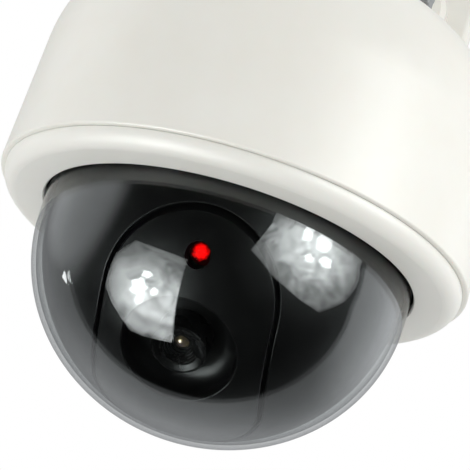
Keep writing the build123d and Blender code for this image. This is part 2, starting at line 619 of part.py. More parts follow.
# Liner: gloss black bowl with a straight collar, open behind the panel
with BuildPart() as head_liner:
    with BuildSketch(SECTION):
        with BuildLine():
            CenterArc((0, HEAD_HEIGHT), HEAD_RADIUS, 270, 90)
            Line((HEAD_RADIUS, HEAD_HEIGHT), (HEAD_RADIUS, TABLE_BOTTOM))
            Line((HEAD_RADIUS, TABLE_BOTTOM), (HEAD_RADIUS - HEAD_WALL, TABLE_BOTTOM))
            Line((HEAD_RADIUS - HEAD_WALL, TABLE_BOTTOM), (HEAD_RADIUS - HEAD_WALL, HEAD_HEIGHT))
            CenterArc((0, HEAD_HEIGHT), HEAD_RADIUS - HEAD_WALL, 270, 90)
            Line((0, HEAD_HEIGHT - HEAD_RADIUS + HEAD_WALL), (0, HEAD_HEIGHT - HEAD_RADIUS))
        make_face()
    revolve(axis=AXIS)
    with BuildSketch(looking(PANEL_PITCH, 15)):
        add(stadium(PANEL_GROOVE))
    extrude(amount=HEAD_RADIUS, mode=Mode.SUBTRACT)
    fillet(outline_edges(head_liner, PANEL_GROOVE), GROOVE_EDGE)
    for angle in LINER_SCREW_ANGLES:
        screw_post = level(TABLE_BOTTOM).rotated((0, 0, angle))
        with BuildSketch(screw_post):
            with Locations((LINER_SCREW_CIRCLE, 0)):
                Circle(LINER_POST)
            with Locations((LINER_SCREW_CIRCLE + LINER_RIB / 2, 0)):
                Rectangle(LINER_RIB, LINER_POST)
        extrude(amount=-LINER_SCREW_LENGTH)
        with BuildSketch(screw_post):
            with Locations((LINER_SCREW_CIRCLE, 0)):
                Circle(LINER_SCREW_RADIUS + 0.05)
        extrude(amount=1.5 - LINER_SCREW_LENGTH, mode=Mode.SUBTRACT)
save(head_liner, "head_liner")

with BuildPart() as liner_screws:
    for angle in LINER_SCREW_ANGLES:
        with BuildSketch(level(TABLE_TOP - 0.1).rotated((0, 0, angle))):
            with Locations((LINER_SCREW_CIRCLE, 0)):
                Circle(LINER_HEAD_RADIUS)
        extrude(amount=-LINER_HEAD_DEPTH, taper=41)
        with BuildSketch(level(TABLE_TOP - 0.1).rotated((0, 0, angle))):
            with Locations((LINER_SCREW_CIRCLE, 0)):
                Circle(LINER_SCREW_RADIUS)
        extrude(amount=-LINER_SCREW_LENGTH)
save(liner_screws, "liner_screws")

# Panel: skin flush with the liner, a backing flange that shows as the floor of the groove,
# a cup for the lens and a short tube for the LED
RECESS_FLOOR = 35.5
RECESS_ROUND = 4.5
LENS_VIEW = Axis(HEAD_CENTRE, looking(PANEL_PITCH).z_dir)
CUP_BACK = 33.7
BARREL_RADIUS = 6.7
BARREL_FRONT = 42.6
LED_TUBE = 4.7
LED_HOLE = 3.0              # half width of the slotted hole
LED_HOLE_LENGTH = 0.6       # between the centres of its two ends
LED_HOLE_DROP = 0.3
BACKING_OUTER = HEAD_RADIUS - HEAD_WALL - 0.2
BACKING_INNER = BACKING_OUTER - 1.6
BACKING_GROWTH = 2.2        # backing flange beyond the groove
CUP_WALL = 1.5
LED_TUBE_FOOT = 37.5
BOARD_DISTANCE = 27.0
BOARD_THICKNESS = 1.6
BOARD_POST_X = 9.0
LED_POST = 2.2
LED_SCREW_RADIUS = 0.75
LED_SCREW_LENGTH = 6.0
LED_HEAD_RADIUS = 1.7
LED_HEAD_HEIGHT = 1.2


def capped(outer, inner, growth):
    """Part of a hollow ball under the panel's outline."""
    with BuildPart() as cap:
        with BuildSketch(looking(PANEL_PITCH)):
            add(stadium(growth))
        extrude(amount=outer + 5)
        with Locations(HEAD_CENTRE):
            Sphere(outer, mode=Mode.INTERSECT)
        with Locations(HEAD_CENTRE):
            Sphere(inner, mode=Mode.SUBTRACT)
    return cap.part


with BuildPart() as lens_cup:
    with BuildSketch(looking(PANEL_PITCH, CUP_BACK, LENS_OFFSET)):
        Circle(RECESS_RADIUS + CUP_WALL)
    extrude(amount=15)
    with BuildSketch(looking(LED_PITCH, LED_TUBE_FOOT)):
        Circle(LED_TUBE)
    extrude(amount=12)
    with Locations(HEAD_CENTRE):
        Sphere(HEAD_RADIUS, mode=Mode.INTERSECT)

def recess_edges(piece):
    """Edges where the recess meets the head's outside."""
    lens_plane = looking(PANEL_PITCH, 0, LENS_OFFSET)

    def follows(edge):
        place = edge @ 0.5 - lens_plane.origin
        reach = hypot(place.dot(lens_plane.x_dir), place.dot(lens_plane.y_dir))
        outside = abs((edge @ 0.5 - HEAD_CENTRE).length - HEAD_RADIUS) < 0.05
        return outside and abs(reach - RECESS_RADIUS) < 0.05

    return piece.edges().filter_by(follows)


# Bowl-shaped recess round the lens
with BuildPart() as recess_bowl:
    with BuildSketch(looking(PANEL_PITCH, RECESS_FLOOR, LENS_OFFSET)):
        Circle(RECESS_RADIUS)
    extrude(amount=20)
    fillet(recess_bowl.edges().group_by(LENS_VIEW)[0], RECESS_ROUND)

with BuildPart() as lens_panel:
    add(capped(HEAD_RADIUS, BACKING_INNER, 0))
    add(capped(BACKING_OUTER, BACKING_INNER, PANEL_GROOVE + BACKING_GROWTH))
    add(lens_cup.part)
    with BuildSketch(looking(LED_PITCH, BOARD_DISTANCE + BOARD_THICKNESS)):
        with Locations((-BOARD_POST_X, 0), (BOARD_POST_X, 0)):
            Circle(LED_POST)
    extrude(amount=BACKING_INNER - BOARD_DISTANCE - 2.2)
    with BuildSketch(looking(LED_PITCH, BOARD_DISTANCE)):
        with Locations((-BOARD_POST_X, 0), (BOARD_POST_X, 0)):
            Circle(LED_SCREW_RADIUS + 0.05)
    extrude(amount=LED_SCREW_LENGTH + 2, mode=Mode.SUBTRACT)
    add(recess_bowl.part, mode=Mode.SUBTRACT)
    with BuildSketch(looking(PANEL_PITCH, CUP_BACK - 1, LENS_OFFSET)):
        Circle(BARREL_RADIUS + 0.05)
    extrude(amount=10, mode=Mode.SUBTRACT)
    with BuildSketch(looking(LED_PITCH, 30, -LED_HOLE_DROP)):
        SlotCenterToCenter(LED_HOLE_LENGTH, 2 * LED_HOLE, rotation=90)
    extrude(amount=20, mode=Mode.SUBTRACT)
    fillet(outline_edges(lens_panel, 0), GROOVE_EDGE)
    fillet(recess_edges(lens_panel), GROOVE_EDGE)
save(lens_panel, "lens_panel")

# Barrel with its ring nut behind the cup, stepped hood in its mouth, glass, and the cell behind it
LENS_FOOT = looking(PANEL_PITCH, 0, LENS_OFFSET)
LENS_AXIS = Axis(LENS_FOOT.origin, LENS_FOOT.z_dir)
GLASS_FRONT = 39.0
GLASS_TOP = looking(PANEL_PITCH, GLASS_FRONT, LENS_OFFSET).origin
LENS_SECTION = Plane(origin=LENS_FOOT.origin, x_dir=(1, 0, 0), z_dir=LENS_FOOT.y_dir * -1)
HOOD_RADIUS = 4.8
HOOD_STEPS = 5
STEP_WIDTH = 0.55
STEP_DEPTH = 0.55
HOOD_FRONT = 42.0
GLASS_RADIUS = 2.9
GLASS_CROWN = 0.5
GLASS_THICKNESS = 2.0
NUT_RADIUS = 9.6
RING_NUT_HEIGHT = 2.2
CELL_FLOOR = 28.0
CELL_FLOOR_THICKNESS = 1.5
CELL_SEAT = 0.7             # ledge under the glass


def lathe(*points):
    """Solid of revolution about the lens axis, from (radius, distance) corners."""
    with BuildPart() as piece:
        with BuildSketch(LENS_SECTION):
            with BuildLine():
                Polyline(*points, close=True)
            make_face()
        revolve(axis=LENS_AXIS)
    return piece.part


with BuildPart() as lens_barrel:
    add(lathe(
        (HOOD_RADIUS, BARREL_FRONT - 0.7), (HOOD_RADIUS + 0.8, BARREL_FRONT - 0.3),
        (BARREL_RADIUS - 0.6, BARREL_FRONT), (BARREL_RADIUS - 0.2, BARREL_FRONT),
        (BARREL_RADIUS, BARREL_FRONT - 0.2), (BARREL_RADIUS, 28), (HOOD_RADIUS, 28)))
save(lens_barrel, "lens_barrel")

with BuildPart() as barrel_nut:
    with BuildSketch(looking(PANEL_PITCH, CUP_BACK - RING_NUT_HEIGHT, LENS_OFFSET)):
        Circle(NUT_RADIUS)
        Circle(BARREL_RADIUS, mode=Mode.SUBTRACT)
        with PolarLocations(NUT_RADIUS, 6):
            Rectangle(1.6, 2.0, mode=Mode.SUBTRACT)
    extrude(amount=RING_NUT_HEIGHT)
save(barrel_nut, "barrel_nut")

stairs = [(HOOD_RADIUS, HOOD_FRONT)]
for step in range(HOOD_STEPS):
    stair_radius = HOOD_RADIUS - 0.5 - step * STEP_WIDTH
    stair_height = HOOD_FRONT - step * STEP_DEPTH
    stairs.append((stair_radius, stair_height))
    stairs.append((stair_radius, stair_height - STEP_DEPTH))
with BuildPart() as lens_hood:
    add(lathe(*stairs, (stairs[-1][0] - 0.35, stairs[-1][1]), (stairs[-1][0] - 0.35, GLASS_FRONT),
              (HOOD_RADIUS, GLASS_FRONT)))
save(lens_hood, "lens_hood")

with BuildPart() as lens_glass:
    with BuildSketch(Plane(origin=GLASS_TOP, x_dir=(1, 0, 0), z_dir=LENS_FOOT.y_dir * -1)):
        with BuildLine():
            Line((0, -GLASS_THICKNESS), (GLASS_RADIUS, -GLASS_THICKNESS))
            Line((GLASS_RADIUS, -GLASS_THICKNESS), (GLASS_RADIUS, -GLASS_CROWN))
            TangentArc((0, 0), (GLASS_RADIUS, -GLASS_CROWN), tangent=(1, 0))
            Line((0, 0), (0, -GLASS_THICKNESS))
        make_face()
    revolve(axis=LENS_AXIS)
save(lens_glass, "lens_glass")

with BuildPart() as lens_cell:
    add(lathe(
        (GLASS_RADIUS, GLASS_FRONT), (HOOD_RADIUS, GLASS_FRONT), (HOOD_RADIUS, CELL_FLOOR),
        (0, CELL_FLOOR), (0, CELL_FLOOR + CELL_FLOOR_THICKNESS),
        (GLASS_RADIUS - CELL_SEAT, CELL_FLOOR + CELL_FLOOR_THICKNESS),
        (GLASS_RADIUS - CELL_SEAT, GLASS_FRONT - GLASS_THICKNESS),
        (GLASS_RADIUS, GLASS_FRONT - GLASS_THICKNESS)))
save(lens_cell, "lens_cell")

# LED on its own small board behind the panel
LED_RISE = 0.45
LED_TIP = 44.0
LED_BASE = LED_TIP - 8.6
LED_RIM = 0.4
LED_RIM_HEIGHT = 1.0
LEAD_PITCH = 2.54
LEAD_WIDTH = 0.5
LEAD_END = 1.2              # how far the legs stick out behind the board
with BuildPart() as status_led:
    with BuildSketch(looking(LED_PITCH, LED_BASE, LED_RISE)):
        Circle(LED_RADIUS + LED_RIM)
    extrude(amount=LED_RIM_HEIGHT)
    with BuildSketch(looking(LED_PITCH, LED_BASE, LED_RISE)):
        Circle(LED_RADIUS)
    extrude(amount=LED_TIP - LED_BASE)
    fillet(status_led.edges().group_by(Axis(HEAD_CENTRE, looking(LED_PITCH).z_dir))[-1], LED_RADIUS - 0.05)
save(status_led, "status_led")

with BuildPart() as led_leads:
    with BuildSketch(looking(LED_PITCH, BOARD_DISTANCE - LEAD_END, LED_RISE)):
        with GridLocations(LEAD_PITCH, 1, 2, 1):
            Rectangle(LEAD_WIDTH, LEAD_WIDTH)
    extrude(amount=LED_BASE - BOARD_DISTANCE + LEAD_END)
save(led_leads, "led_leads")

with BuildPart() as led_board:
    with BuildSketch(looking(LED_PITCH, BOARD_DISTANCE)):
        RectangleRounded(24, 9, 1)
        with Locations((-BOARD_POST_X, 0), (BOARD_POST_X, 0)):
            Circle(LED_SCREW_RADIUS + 0.35, mode=Mode.SUBTRACT)
        with Locations((0, LED_RISE)):
            with GridLocations(LEAD_PITCH, 1, 2, 1):
                Rectangle(LEAD_WIDTH, LEAD_WIDTH, mode=Mode.SUBTRACT)
    extrude(amount=BOARD_THICKNESS)
save(led_board, "led_board")

with BuildPart() as led_screws:
    with BuildSketch(looking(LED_PITCH, BOARD_DISTANCE)):
        with Locations((-BOARD_POST_X, 0), (BOARD_POST_X, 0)):
            Circle(LED_SCREW_RADIUS)
    extrude(amount=LED_SCREW_LENGTH)
    with BuildSketch(looking(LED_PITCH, BOARD_DISTANCE)):
        with Locations((-BOARD_POST_X, 0), (BOARD_POST_X, 0)):
            Circle(LED_HEAD_RADIUS)
    extrude(amount=-LED_HEAD_HEIGHT)
save(led_screws, "led_screws")

# ================================================================ battery box on the chassis
BOX_LENGTH = 58.0
BOX_WIDTH = 32.0
BOX_Y = 30.0                # its middle, behind the camera's axis
BOX_HEIGHT = 17.0
BOX_WALL = 1.5
CELL_RADIUS = 7.1
CELL_LENGTH = 49.4
CELL_PITCH = 14.4
CELL_SHIFT = 0.6            # towards the spring, to leave room for it
CELL_TIP_RADIUS = 2.7
CELL_TIP_HEIGHT = 1.0
CELL_EDGE = 0.4
COVER_THICKNESS = 1.5
COVER_WIDTH = 29.0
COVER_LENGTH = 54.0
COVER_GAP = 0.2             # over the box's top edge
KNUCKLE_LENGTH = 6.0
KNUCKLE_RADIUS = 1.5
MIDDLE_KNUCKLE = 25.0
PIN_RADIUS = 0.55
PIN_LENGTH = 39.0
HINGE_Y = BOX_Y - BOX_WIDTH / 2
HINGE_LEVEL = CHASSIS_TOP + BOX_HEIGHT + 1.6
CELL_LEVEL = CHASSIS_TOP + BOX_WALL + 0.3 + CELL_RADIUS

with BuildPart() as battery_box:
    with BuildSketch(level(CHASSIS_TOP)):
        with Locations((0, BOX_Y)):
            RectangleRounded(BOX_LENGTH, BOX_WIDTH, 2.5)
    extrude(amount=BOX_HEIGHT)
    with BuildSketch(level(CHASSIS_TOP + BOX_WALL)):
        with Locations((0, BOX_Y)):
            RectangleRounded(BOX_LENGTH - 2 * BOX_WALL, BOX_WIDTH - 2 * BOX_WALL, 1)
    extrude(amount=BOX_HEIGHT, mode=Mode.SUBTRACT)
    # low rib between the cells
    with BuildSketch(level(CHASSIS_TOP + BOX_WALL)):
        with Locations((0, BOX_Y)):
            Rectangle(40, 0.8)
    extrude(amount=2.6)
    # outer knuckles of the cover's hinge
    for side in (-1, 1):
        knuckle = Plane(origin=(side * 16 - KNUCKLE_LENGTH / 2, HINGE_Y - REACH, HINGE_LEVEL - DROP),
                        x_dir=(0, 1, 0), z_dir=(1, 0, 0))
        with BuildSketch(knuckle):
            Circle(KNUCKLE_RADIUS)
            with Locations((0.4, -1.6)):
                Rectangle(2.2, 3.2)
        extrude(amount=KNUCKLE_LENGTH)
        with BuildSketch(knuckle):
            Circle(PIN_RADIUS + 0.05)
        extrude(amount=KNUCKLE_LENGTH, mode=Mode.SUBTRACT)
save(battery_box, "battery_box")

HINGE_PLANE = Plane(origin=(0, HINGE_Y - REACH, HINGE_LEVEL - DROP), x_dir=(0, 1, 0), z_dir=(1, 0, 0))
with BuildPart() as cover_pin:
    with BuildSketch(HINGE_PLANE.offset(-PIN_LENGTH / 2)):
        Circle(PIN_RADIUS)
    extrude(amount=PIN_LENGTH)
save(cover_pin, "cover_pin")

with BuildPart() as battery_cover:
    with BuildSketch(level(CHASSIS_TOP + BOX_HEIGHT + COVER_GAP)):
        with Locations((0, HINGE_Y + 2.0 + COVER_WIDTH / 2)):
            RectangleRounded(COVER_LENGTH, COVER_WIDTH, 5)
    extrude(amount=COVER_THICKNESS)
    # finger rib across the free edge
    with BuildSketch(level(CHASSIS_TOP + BOX_HEIGHT + COVER_GAP)):
        with Locations((0, HINGE_Y + COVER_WIDTH - 2)):
            RectangleRounded(18, 1.6, 0.7)
    extrude(amount=COVER_THICKNESS + 1.0)
    # middle knuckle
    with BuildSketch(HINGE_PLANE.offset(-MIDDLE_KNUCKLE / 2)):
        Circle(KNUCKLE_RADIUS - 0.1)
        with Locations((1.9, -0.65)):
            Rectangle(3.8, 1.5)
    extrude(amount=MIDDLE_KNUCKLE)
    with BuildSketch(HINGE_PLANE.offset(-MIDDLE_KNUCKLE / 2)):
        Circle(PIN_RADIUS + 0.05)
    extrude(amount=MIDDLE_KNUCKLE, mode=Mode.SUBTRACT)
save(battery_cover, "battery_cover")

with BuildPart() as battery_cells:
    for side in (-1, 1):
        start = -side * (CELL_LENGTH / 2 + CELL_SHIFT)
        cell = Plane(origin=(start, BOX_Y + side * CELL_PITCH / 2 - REACH, CELL_LEVEL - DROP),
                     x_dir=(0, 1, 0), z_dir=(side, 0, 0))
        with BuildSketch(cell):
            Circle(CELL_RADIUS)
        extrude(amount=CELL_LENGTH)
        with BuildSketch(cell.offset(CELL_LENGTH)):
            Circle(CELL_TIP_RADIUS)
        extrude(amount=CELL_TIP_HEIGHT)
    chamfer(battery_cells.edges().filter_by(GeomType.CIRCLE).filter_by(lambda e: e.radius > 7), CELL_EDGE)
save(battery_cells, "battery_cells")

# Contact plates at both ends, coil springs at the negative ends
CONTACT_X = BOX_LENGTH / 2 - BOX_WALL - 0.5
CONTACT_WIDTH = 10.0
CONTACT_HEIGHT = 12.0
CONTACT_THICKNESS = 0.4
with BuildPart() as battery_contacts:
    for end in (-1, 1):
        for side in (-1, 1):
            contact = Plane(origin=(end * CONTACT_X, BOX_Y + side * CELL_PITCH / 2 - REACH,
                                    CELL_LEVEL - DROP), x_dir=(0, 1, 0), z_dir=(end, 0, 0))
            with BuildSketch(contact):
                Rectangle(CONTACT_WIDTH, CONTACT_HEIGHT)
            extrude(amount=CONTACT_THICKNESS)
save(battery_contacts, "battery_contacts")

SPRING_WIRE = 0.35
SPRING_RADIUS = 3.2
with BuildPart() as battery_springs:
    for side in (-1, 1):
        negative_end = side * (CELL_LENGTH / 2 + CELL_SHIFT)
        gap = CONTACT_X - abs(negative_end) - 2 * SPRING_WIRE - 0.1
        foot = (-side * (CONTACT_X - SPRING_WIRE - 0.02), BOX_Y + side * CELL_PITCH / 2 - REACH,
                CELL_LEVEL - DROP)
        with BuildLine() as coil:
            Helix(0.5 * gap, gap, SPRING_RADIUS, center=foot, direction=(side, 0, 0))
        with BuildSketch(Plane(origin=coil.line @ 0, z_dir=coil.line % 0)):
            Circle(SPRING_WIRE)
        sweep(path=coil.line)
save(battery_springs, "battery_springs")

# ================================================================ flasher board with its switch
BOARD_TOP = CHASSIS_TOP + BOARD_POST_LENGTH + BOARD_THICKNESS
BOARD_WIDTH = 42.0
BOARD_DEPTH = 28.0
CHIP_X = -8.0
CHIP_Y = BOARD_Y - 2
CHIP_LENGTH = 9.4
CHIP_WIDTH = 6.4
CHIP_HEIGHT = 3.2
SOCKET_X = 11.0
SOCKET_Y = BOARD_Y + 7
RESISTOR_RADIUS = 1.1
RESISTOR_LENGTH = 6.2
SWITCH_X = 8.0
SWITCH_Y = BOARD_Y - 8.0
SWITCH_TRAVEL = 2.5
SWITCH_LENGTH = 9.0
SWITCH_WIDTH = 4.4
SWITCH_HEIGHT = 3.8
SWITCH_WALL = 0.7
SLIDER_LEVEL = 1.35
SLIDER_FOOT = 1.5
SLIDER_HEIGHT = 6.0


def on_board(height, x, y):
    """Horizontal plane at a height above the board's top face, centred at x, y from the camera's axis."""
    return Plane(origin=(x, y - REACH, BOARD_TOP + height - DROP))


with BuildPart() as flasher_board:
    with BuildSketch(on_board(-BOARD_THICKNESS, 0, BOARD_Y)):
        RectangleRounded(BOARD_WIDTH, BOARD_DEPTH, 1.5)
        with GridLocations(BOARD_SCREWS_X, BOARD_SCREWS_Y, 2, 2):
            Circle(BOARD_SCREW_RADIUS + 0.25, mode=Mode.SUBTRACT)
    extrude(amount=BOARD_THICKNESS)
save(flasher_board, "flasher_board")

with BuildPart() as board_parts:
    # timer chip with eight legs
    with BuildSketch(on_board(0.4, CHIP_X, CHIP_Y)):
        Rectangle(CHIP_LENGTH, CHIP_WIDTH)
    extrude(amount=CHIP_HEIGHT)
    with BuildSketch(on_board(0, CHIP_X, CHIP_Y)):
        with GridLocations(LEAD_PITCH, CHIP_WIDTH + 1, 4, 2):
            Rectangle(0.6, 1.2)
    extrude(amount=2.0)
    # capacitor, two resistors and a socket for the LED's lead
    with BuildSketch(on_board(0, 2.5, BOARD_Y + 7)):
        Circle(2.5)
    extrude(amount=7.0)
    for row in range(2):
        resistor = Plane(
            origin=(-13, BOARD_Y + 5 + 3.6 * row - REACH, BOARD_TOP + RESISTOR_RADIUS - DROP),
            x_dir=(0, 1, 0), z_dir=(1, 0, 0))
        with BuildSketch(resistor):
            Circle(RESISTOR_RADIUS)
        extrude(amount=RESISTOR_LENGTH)
    with BuildSketch(on_board(0, SOCKET_X, SOCKET_Y)):
        Rectangle(7.4, 4.6)
    extrude(amount=5.0)
    with BuildSketch(on_board(1.6, SOCKET_X, SOCKET_Y + 0.4)):
        Rectangle(5.6, 3.0)
    extrude(amount=5.0, mode=Mode.SUBTRACT)
save(board_parts, "board_parts")

with BuildPart() as board_screws:
    with Locations(on_board(0, 0, BOARD_Y)):
        with GridLocations(BOARD_SCREWS_X, BOARD_SCREWS_Y, 2, 2):
            Cylinder(BOARD_SCREW_RADIUS, 6.0, align=(Align.CENTER, Align.CENTER, Align.MAX))
            Cylinder(1.9, 1.4, align=(Align.CENTER, Align.CENTER, Align.MIN))
save(board_screws, "board_screws")

with BuildPart() as switch_body:
    with BuildSketch(on_board(0, SWITCH_X, SWITCH_Y)):
        Rectangle(SWITCH_LENGTH, SWITCH_WIDTH)
    extrude(amount=SWITCH_HEIGHT)
    with BuildSketch(on_board(1.2, SWITCH_X, SWITCH_Y)):
        Rectangle(SWITCH_LENGTH - 2 * SWITCH_WALL, 2.9)
    extrude(amount=SWITCH_HEIGHT - SWITCH_WALL - 1.2, mode=Mode.SUBTRACT)
    with BuildSketch(on_board(SWITCH_HEIGHT - SWITCH_WALL, SWITCH_X, SWITCH_Y)):
        Rectangle(5.4, 1.9)
    extrude(amount=SWITCH_WALL, mode=Mode.SUBTRACT)
save(switch_body, "switch_body")

# Slider: a flat foot inside the body and a stem through its slot
with BuildPart() as switch_slider:
    with BuildSketch(on_board(SLIDER_LEVEL, SWITCH_X - SWITCH_TRAVEL / 2, SWITCH_Y)):
        Rectangle(4.6, 2.5)
    extrude(amount=SLIDER_FOOT)
    with BuildSketch(on_board(SLIDER_LEVEL, SWITCH_X - SWITCH_TRAVEL / 2, SWITCH_Y)):
        Rectangle(2.4, 1.5)
    extrude(amount=SLIDER_HEIGHT)
save(switch_slider, "switch_slider")
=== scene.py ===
from math import atan2, cos, pi, radians, sin, sqrt

import bmesh
import bpy
from mathutils import Matrix, Vector


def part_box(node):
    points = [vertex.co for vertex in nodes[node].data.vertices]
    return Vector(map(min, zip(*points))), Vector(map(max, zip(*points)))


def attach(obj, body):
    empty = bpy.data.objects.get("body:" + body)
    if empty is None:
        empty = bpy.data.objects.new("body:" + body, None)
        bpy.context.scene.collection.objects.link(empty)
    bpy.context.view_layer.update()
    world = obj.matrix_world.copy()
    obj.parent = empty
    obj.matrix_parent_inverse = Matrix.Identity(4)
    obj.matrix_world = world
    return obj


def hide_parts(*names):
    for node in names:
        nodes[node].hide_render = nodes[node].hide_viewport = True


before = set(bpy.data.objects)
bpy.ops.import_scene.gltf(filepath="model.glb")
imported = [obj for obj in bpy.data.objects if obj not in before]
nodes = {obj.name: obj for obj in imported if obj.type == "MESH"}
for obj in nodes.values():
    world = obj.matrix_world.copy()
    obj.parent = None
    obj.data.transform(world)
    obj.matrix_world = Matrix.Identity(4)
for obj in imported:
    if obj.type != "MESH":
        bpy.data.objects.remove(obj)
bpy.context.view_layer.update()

# Dome camera under a wall arm. The CAD pieces get rounded edges and materials; the dome and the lens
# glass are made again as finer meshes. MM turns the millimetres written here into metres.
MM = 0.001

# ------------------------------------------------------------ places, read from the frame
bezel_low, bezel_high = (Vector(corner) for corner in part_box("bezel_ring"))
dome_low, dome_high = (Vector(corner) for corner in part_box("dome"))
liner_low, liner_high = (Vector(corner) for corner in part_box("head_liner"))
panel_low = Vector(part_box("lens_panel")[0])
AXIS_X = (bezel_low.x + bezel_high.x) / 2
AXIS_Y = (bezel_low.y + bezel_high.y) / 2
BEZEL = Vector((AXIS_X, AXIS_Y, bezel_low.z))
LINER_RADIUS = (liner_high.x - liner_low.x) / 2 / MM
HEAD = Vector((AXIS_X, AXIS_Y, panel_low.z + LINER_RADIUS * MM))
VERTICAL = Vector((0, 0, 1))


def direction(azimuth, elevation):
    """Unit vector: azimuth 0 is out of the wall (-Y), positive towards +X; elevation is above level."""
    a, e = radians(azimuth), radians(elevation)
    return Vector((sin(a) * cos(e), -cos(a) * cos(e), sin(e)))


def upright(pitch):
    """Unit vector square to direction(0, -pitch), on its upper side."""
    return Vector((0, -sin(radians(pitch)), cos(radians(pitch))))


# ------------------------------------------------------------ camera
CAMERA_AZIMUTH = 8.5
CAMERA_ELEVATION = -19.43
CAMERA_ROLL = 17.77
CAMERA_DISTANCE = 0.7213
CAMERA_LENS = 224.1
CAMERA_SENSOR = 36
CAMERA_NEAR = 0.01
CAMERA_FAR = 30
AIM_RIGHT = 0.56 * MM
AIM_UP = 4.83 * MM


def make_camera():
    back = direction(CAMERA_AZIMUTH, CAMERA_ELEVATION)
    right = Vector((cos(radians(CAMERA_AZIMUTH)), sin(radians(CAMERA_AZIMUTH)), 0))
    up = back.cross(right)
    roll = radians(CAMERA_ROLL)
    camera_x = cos(roll) * right + sin(roll) * up
    camera_y = -sin(roll) * right + cos(roll) * up
    aim = BEZEL + AIM_RIGHT * right + AIM_UP * VERTICAL
    data = bpy.data.cameras.new("camera")
    data.lens = CAMERA_LENS
    data.sensor_width = CAMERA_SENSOR
    data.clip_start = CAMERA_NEAR
    data.clip_end = CAMERA_FAR
    camera = bpy.data.objects.new("camera", data)
    bpy.context.collection.objects.link(camera)
    turn = Matrix((camera_x, camera_y, back)).transposed()
    camera.matrix_world = Matrix.Translation(aim + CAMERA_DISTANCE * back) @ turn.to_4x4()
    bpy.context.scene.camera = camera


make_camera()

# ------------------------------------------------------------ node helpers
NOISE_LOW = 0.3             # what a noise texture gives lies mostly between these two
NOISE_HIGH = 0.7
COLOUR_MIX_INPUTS = (0, 6, 7)       # a Mix node's share and its two colours
COLOUR_MIX_OUTPUT = 2


def add_node(tree, kind, **values):
    """A new node. A name in values is an attribute of the node or, with _ for each space, an input."""
    made = tree.nodes.new(kind)
    for name, value in values.items():
        if hasattr(made, name):
            setattr(made, name, value)
        else:
            made.inputs[name.replace("_", " ")].default_value = value
    return made


def remap(tree, source, low, high, to_low, to_high, smooth=False):
    """source's range low..high spread over to_low..to_high."""
    spread = add_node(tree, "ShaderNodeMapRange")
    spread.interpolation_type = "SMOOTHSTEP" if smooth else "LINEAR"
    for socket, value in zip(("From Min", "From Max", "To Min", "To Max"), (low, high, to_low, to_high)):
        spread.inputs[socket].default_value = value
    tree.links.new(source, spread.inputs["Value"])
    return spread.outputs["Result"]


def vary(tree, grain, least=0.0, most=1.0):
    """A noise's usual range spread over least..most."""
    return remap(tree, grain, NOISE_LOW, NOISE_HIGH, least, most)


def calculate(tree, operation, *sides):
    """A Math node; each side is a socket or a number."""
    math_node = add_node(tree, "ShaderNodeMath", operation=operation)
    for socket, value in zip(math_node.inputs, sides):
        if isinstance(value, float):
            socket.default_value = value
        else:
            tree.links.new(value, socket)
    return math_node.outputs[0]


def noise(tree, size_mm, detail=3.0, roughness=0.5, distortion=0.0, stretch=None):
    """Noise over the object's own space, size_mm between its lumps, stretched along an axis if asked."""
    place = add_node(tree, "ShaderNodeTexCoord").outputs["Object"]
    if stretch:
        scaled = add_node(tree, "ShaderNodeMapping")
        scaled.inputs["Scale"].default_value = stretch
        tree.links.new(place, scaled.inputs["Vector"])
        place = scaled.outputs["Vector"]
    grain = add_node(tree, "ShaderNodeTexNoise", Scale=1 / (size_mm * MM), Detail=detail,
                     Roughness=roughness, Distortion=distortion)
    tree.links.new(place, grain.inputs["Vector"])
    return grain.outputs["Fac"]


def distance_from(tree, point):
    """Distance of the shaded place from a point of the rest position, in metres."""
    apart = add_node(tree, "ShaderNodeVectorMath", operation="DISTANCE")
    apart.inputs[1].default_value = point
    tree.links.new(add_node(tree, "ShaderNodeTexCoord").outputs["Object"], apart.inputs[0])
    return apart.outputs["Value"]


def blend_colours(tree, share, first, second):
    """Mix of two colours, each a socket or an (r, g, b), by a socket."""
    mixed = add_node(tree, "ShaderNodeMix", data_type="RGBA")
    share_input, first_input, second_input = (mixed.inputs[place] for place in COLOUR_MIX_INPUTS)
    for socket, value in ((first_input, first), (second_input, second)):
        if isinstance(value, tuple):
            socket.default_value = (*value, 1)
        else:
            tree.links.new(value, socket)
    tree.links.new(share, share_input)
    return mixed.outputs[COLOUR_MIX_OUTPUT]


def blend_shaders(tree, share, first, second):
    mixed = add_node(tree, "ShaderNodeMixShader")
    for socket, source in zip(mixed.inputs, (share, first, second)):
        tree.links.new(source, socket)
    return mixed.outputs[0]


def bump(tree, height, depth_mm, normal=None):
    made = add_node(tree, "ShaderNodeBump", Strength=1.0, Distance=depth_mm * MM)
    tree.links.new(height, made.inputs["Height"])
    if normal:
        tree.links.new(normal, made.inputs["Normal"])
    return made.outputs["Normal"]


def blank(name):
    material = bpy.data.materials.new(name)
    material.use_nodes = True
    material.node_tree.nodes.clear()
    return material, material.node_tree


def principled(name, **values):
    """Material of one Principled shader, with its tree and the shader's node."""
    material, tree = blank(name)
    output = add_node(tree, "ShaderNodeOutputMaterial")
    shader = add_node(tree, "ShaderNodeBsdfPrincipled", **values)
    tree.links.new(shader.outputs[0], output.inputs["Surface"])
    return material, tree, shader


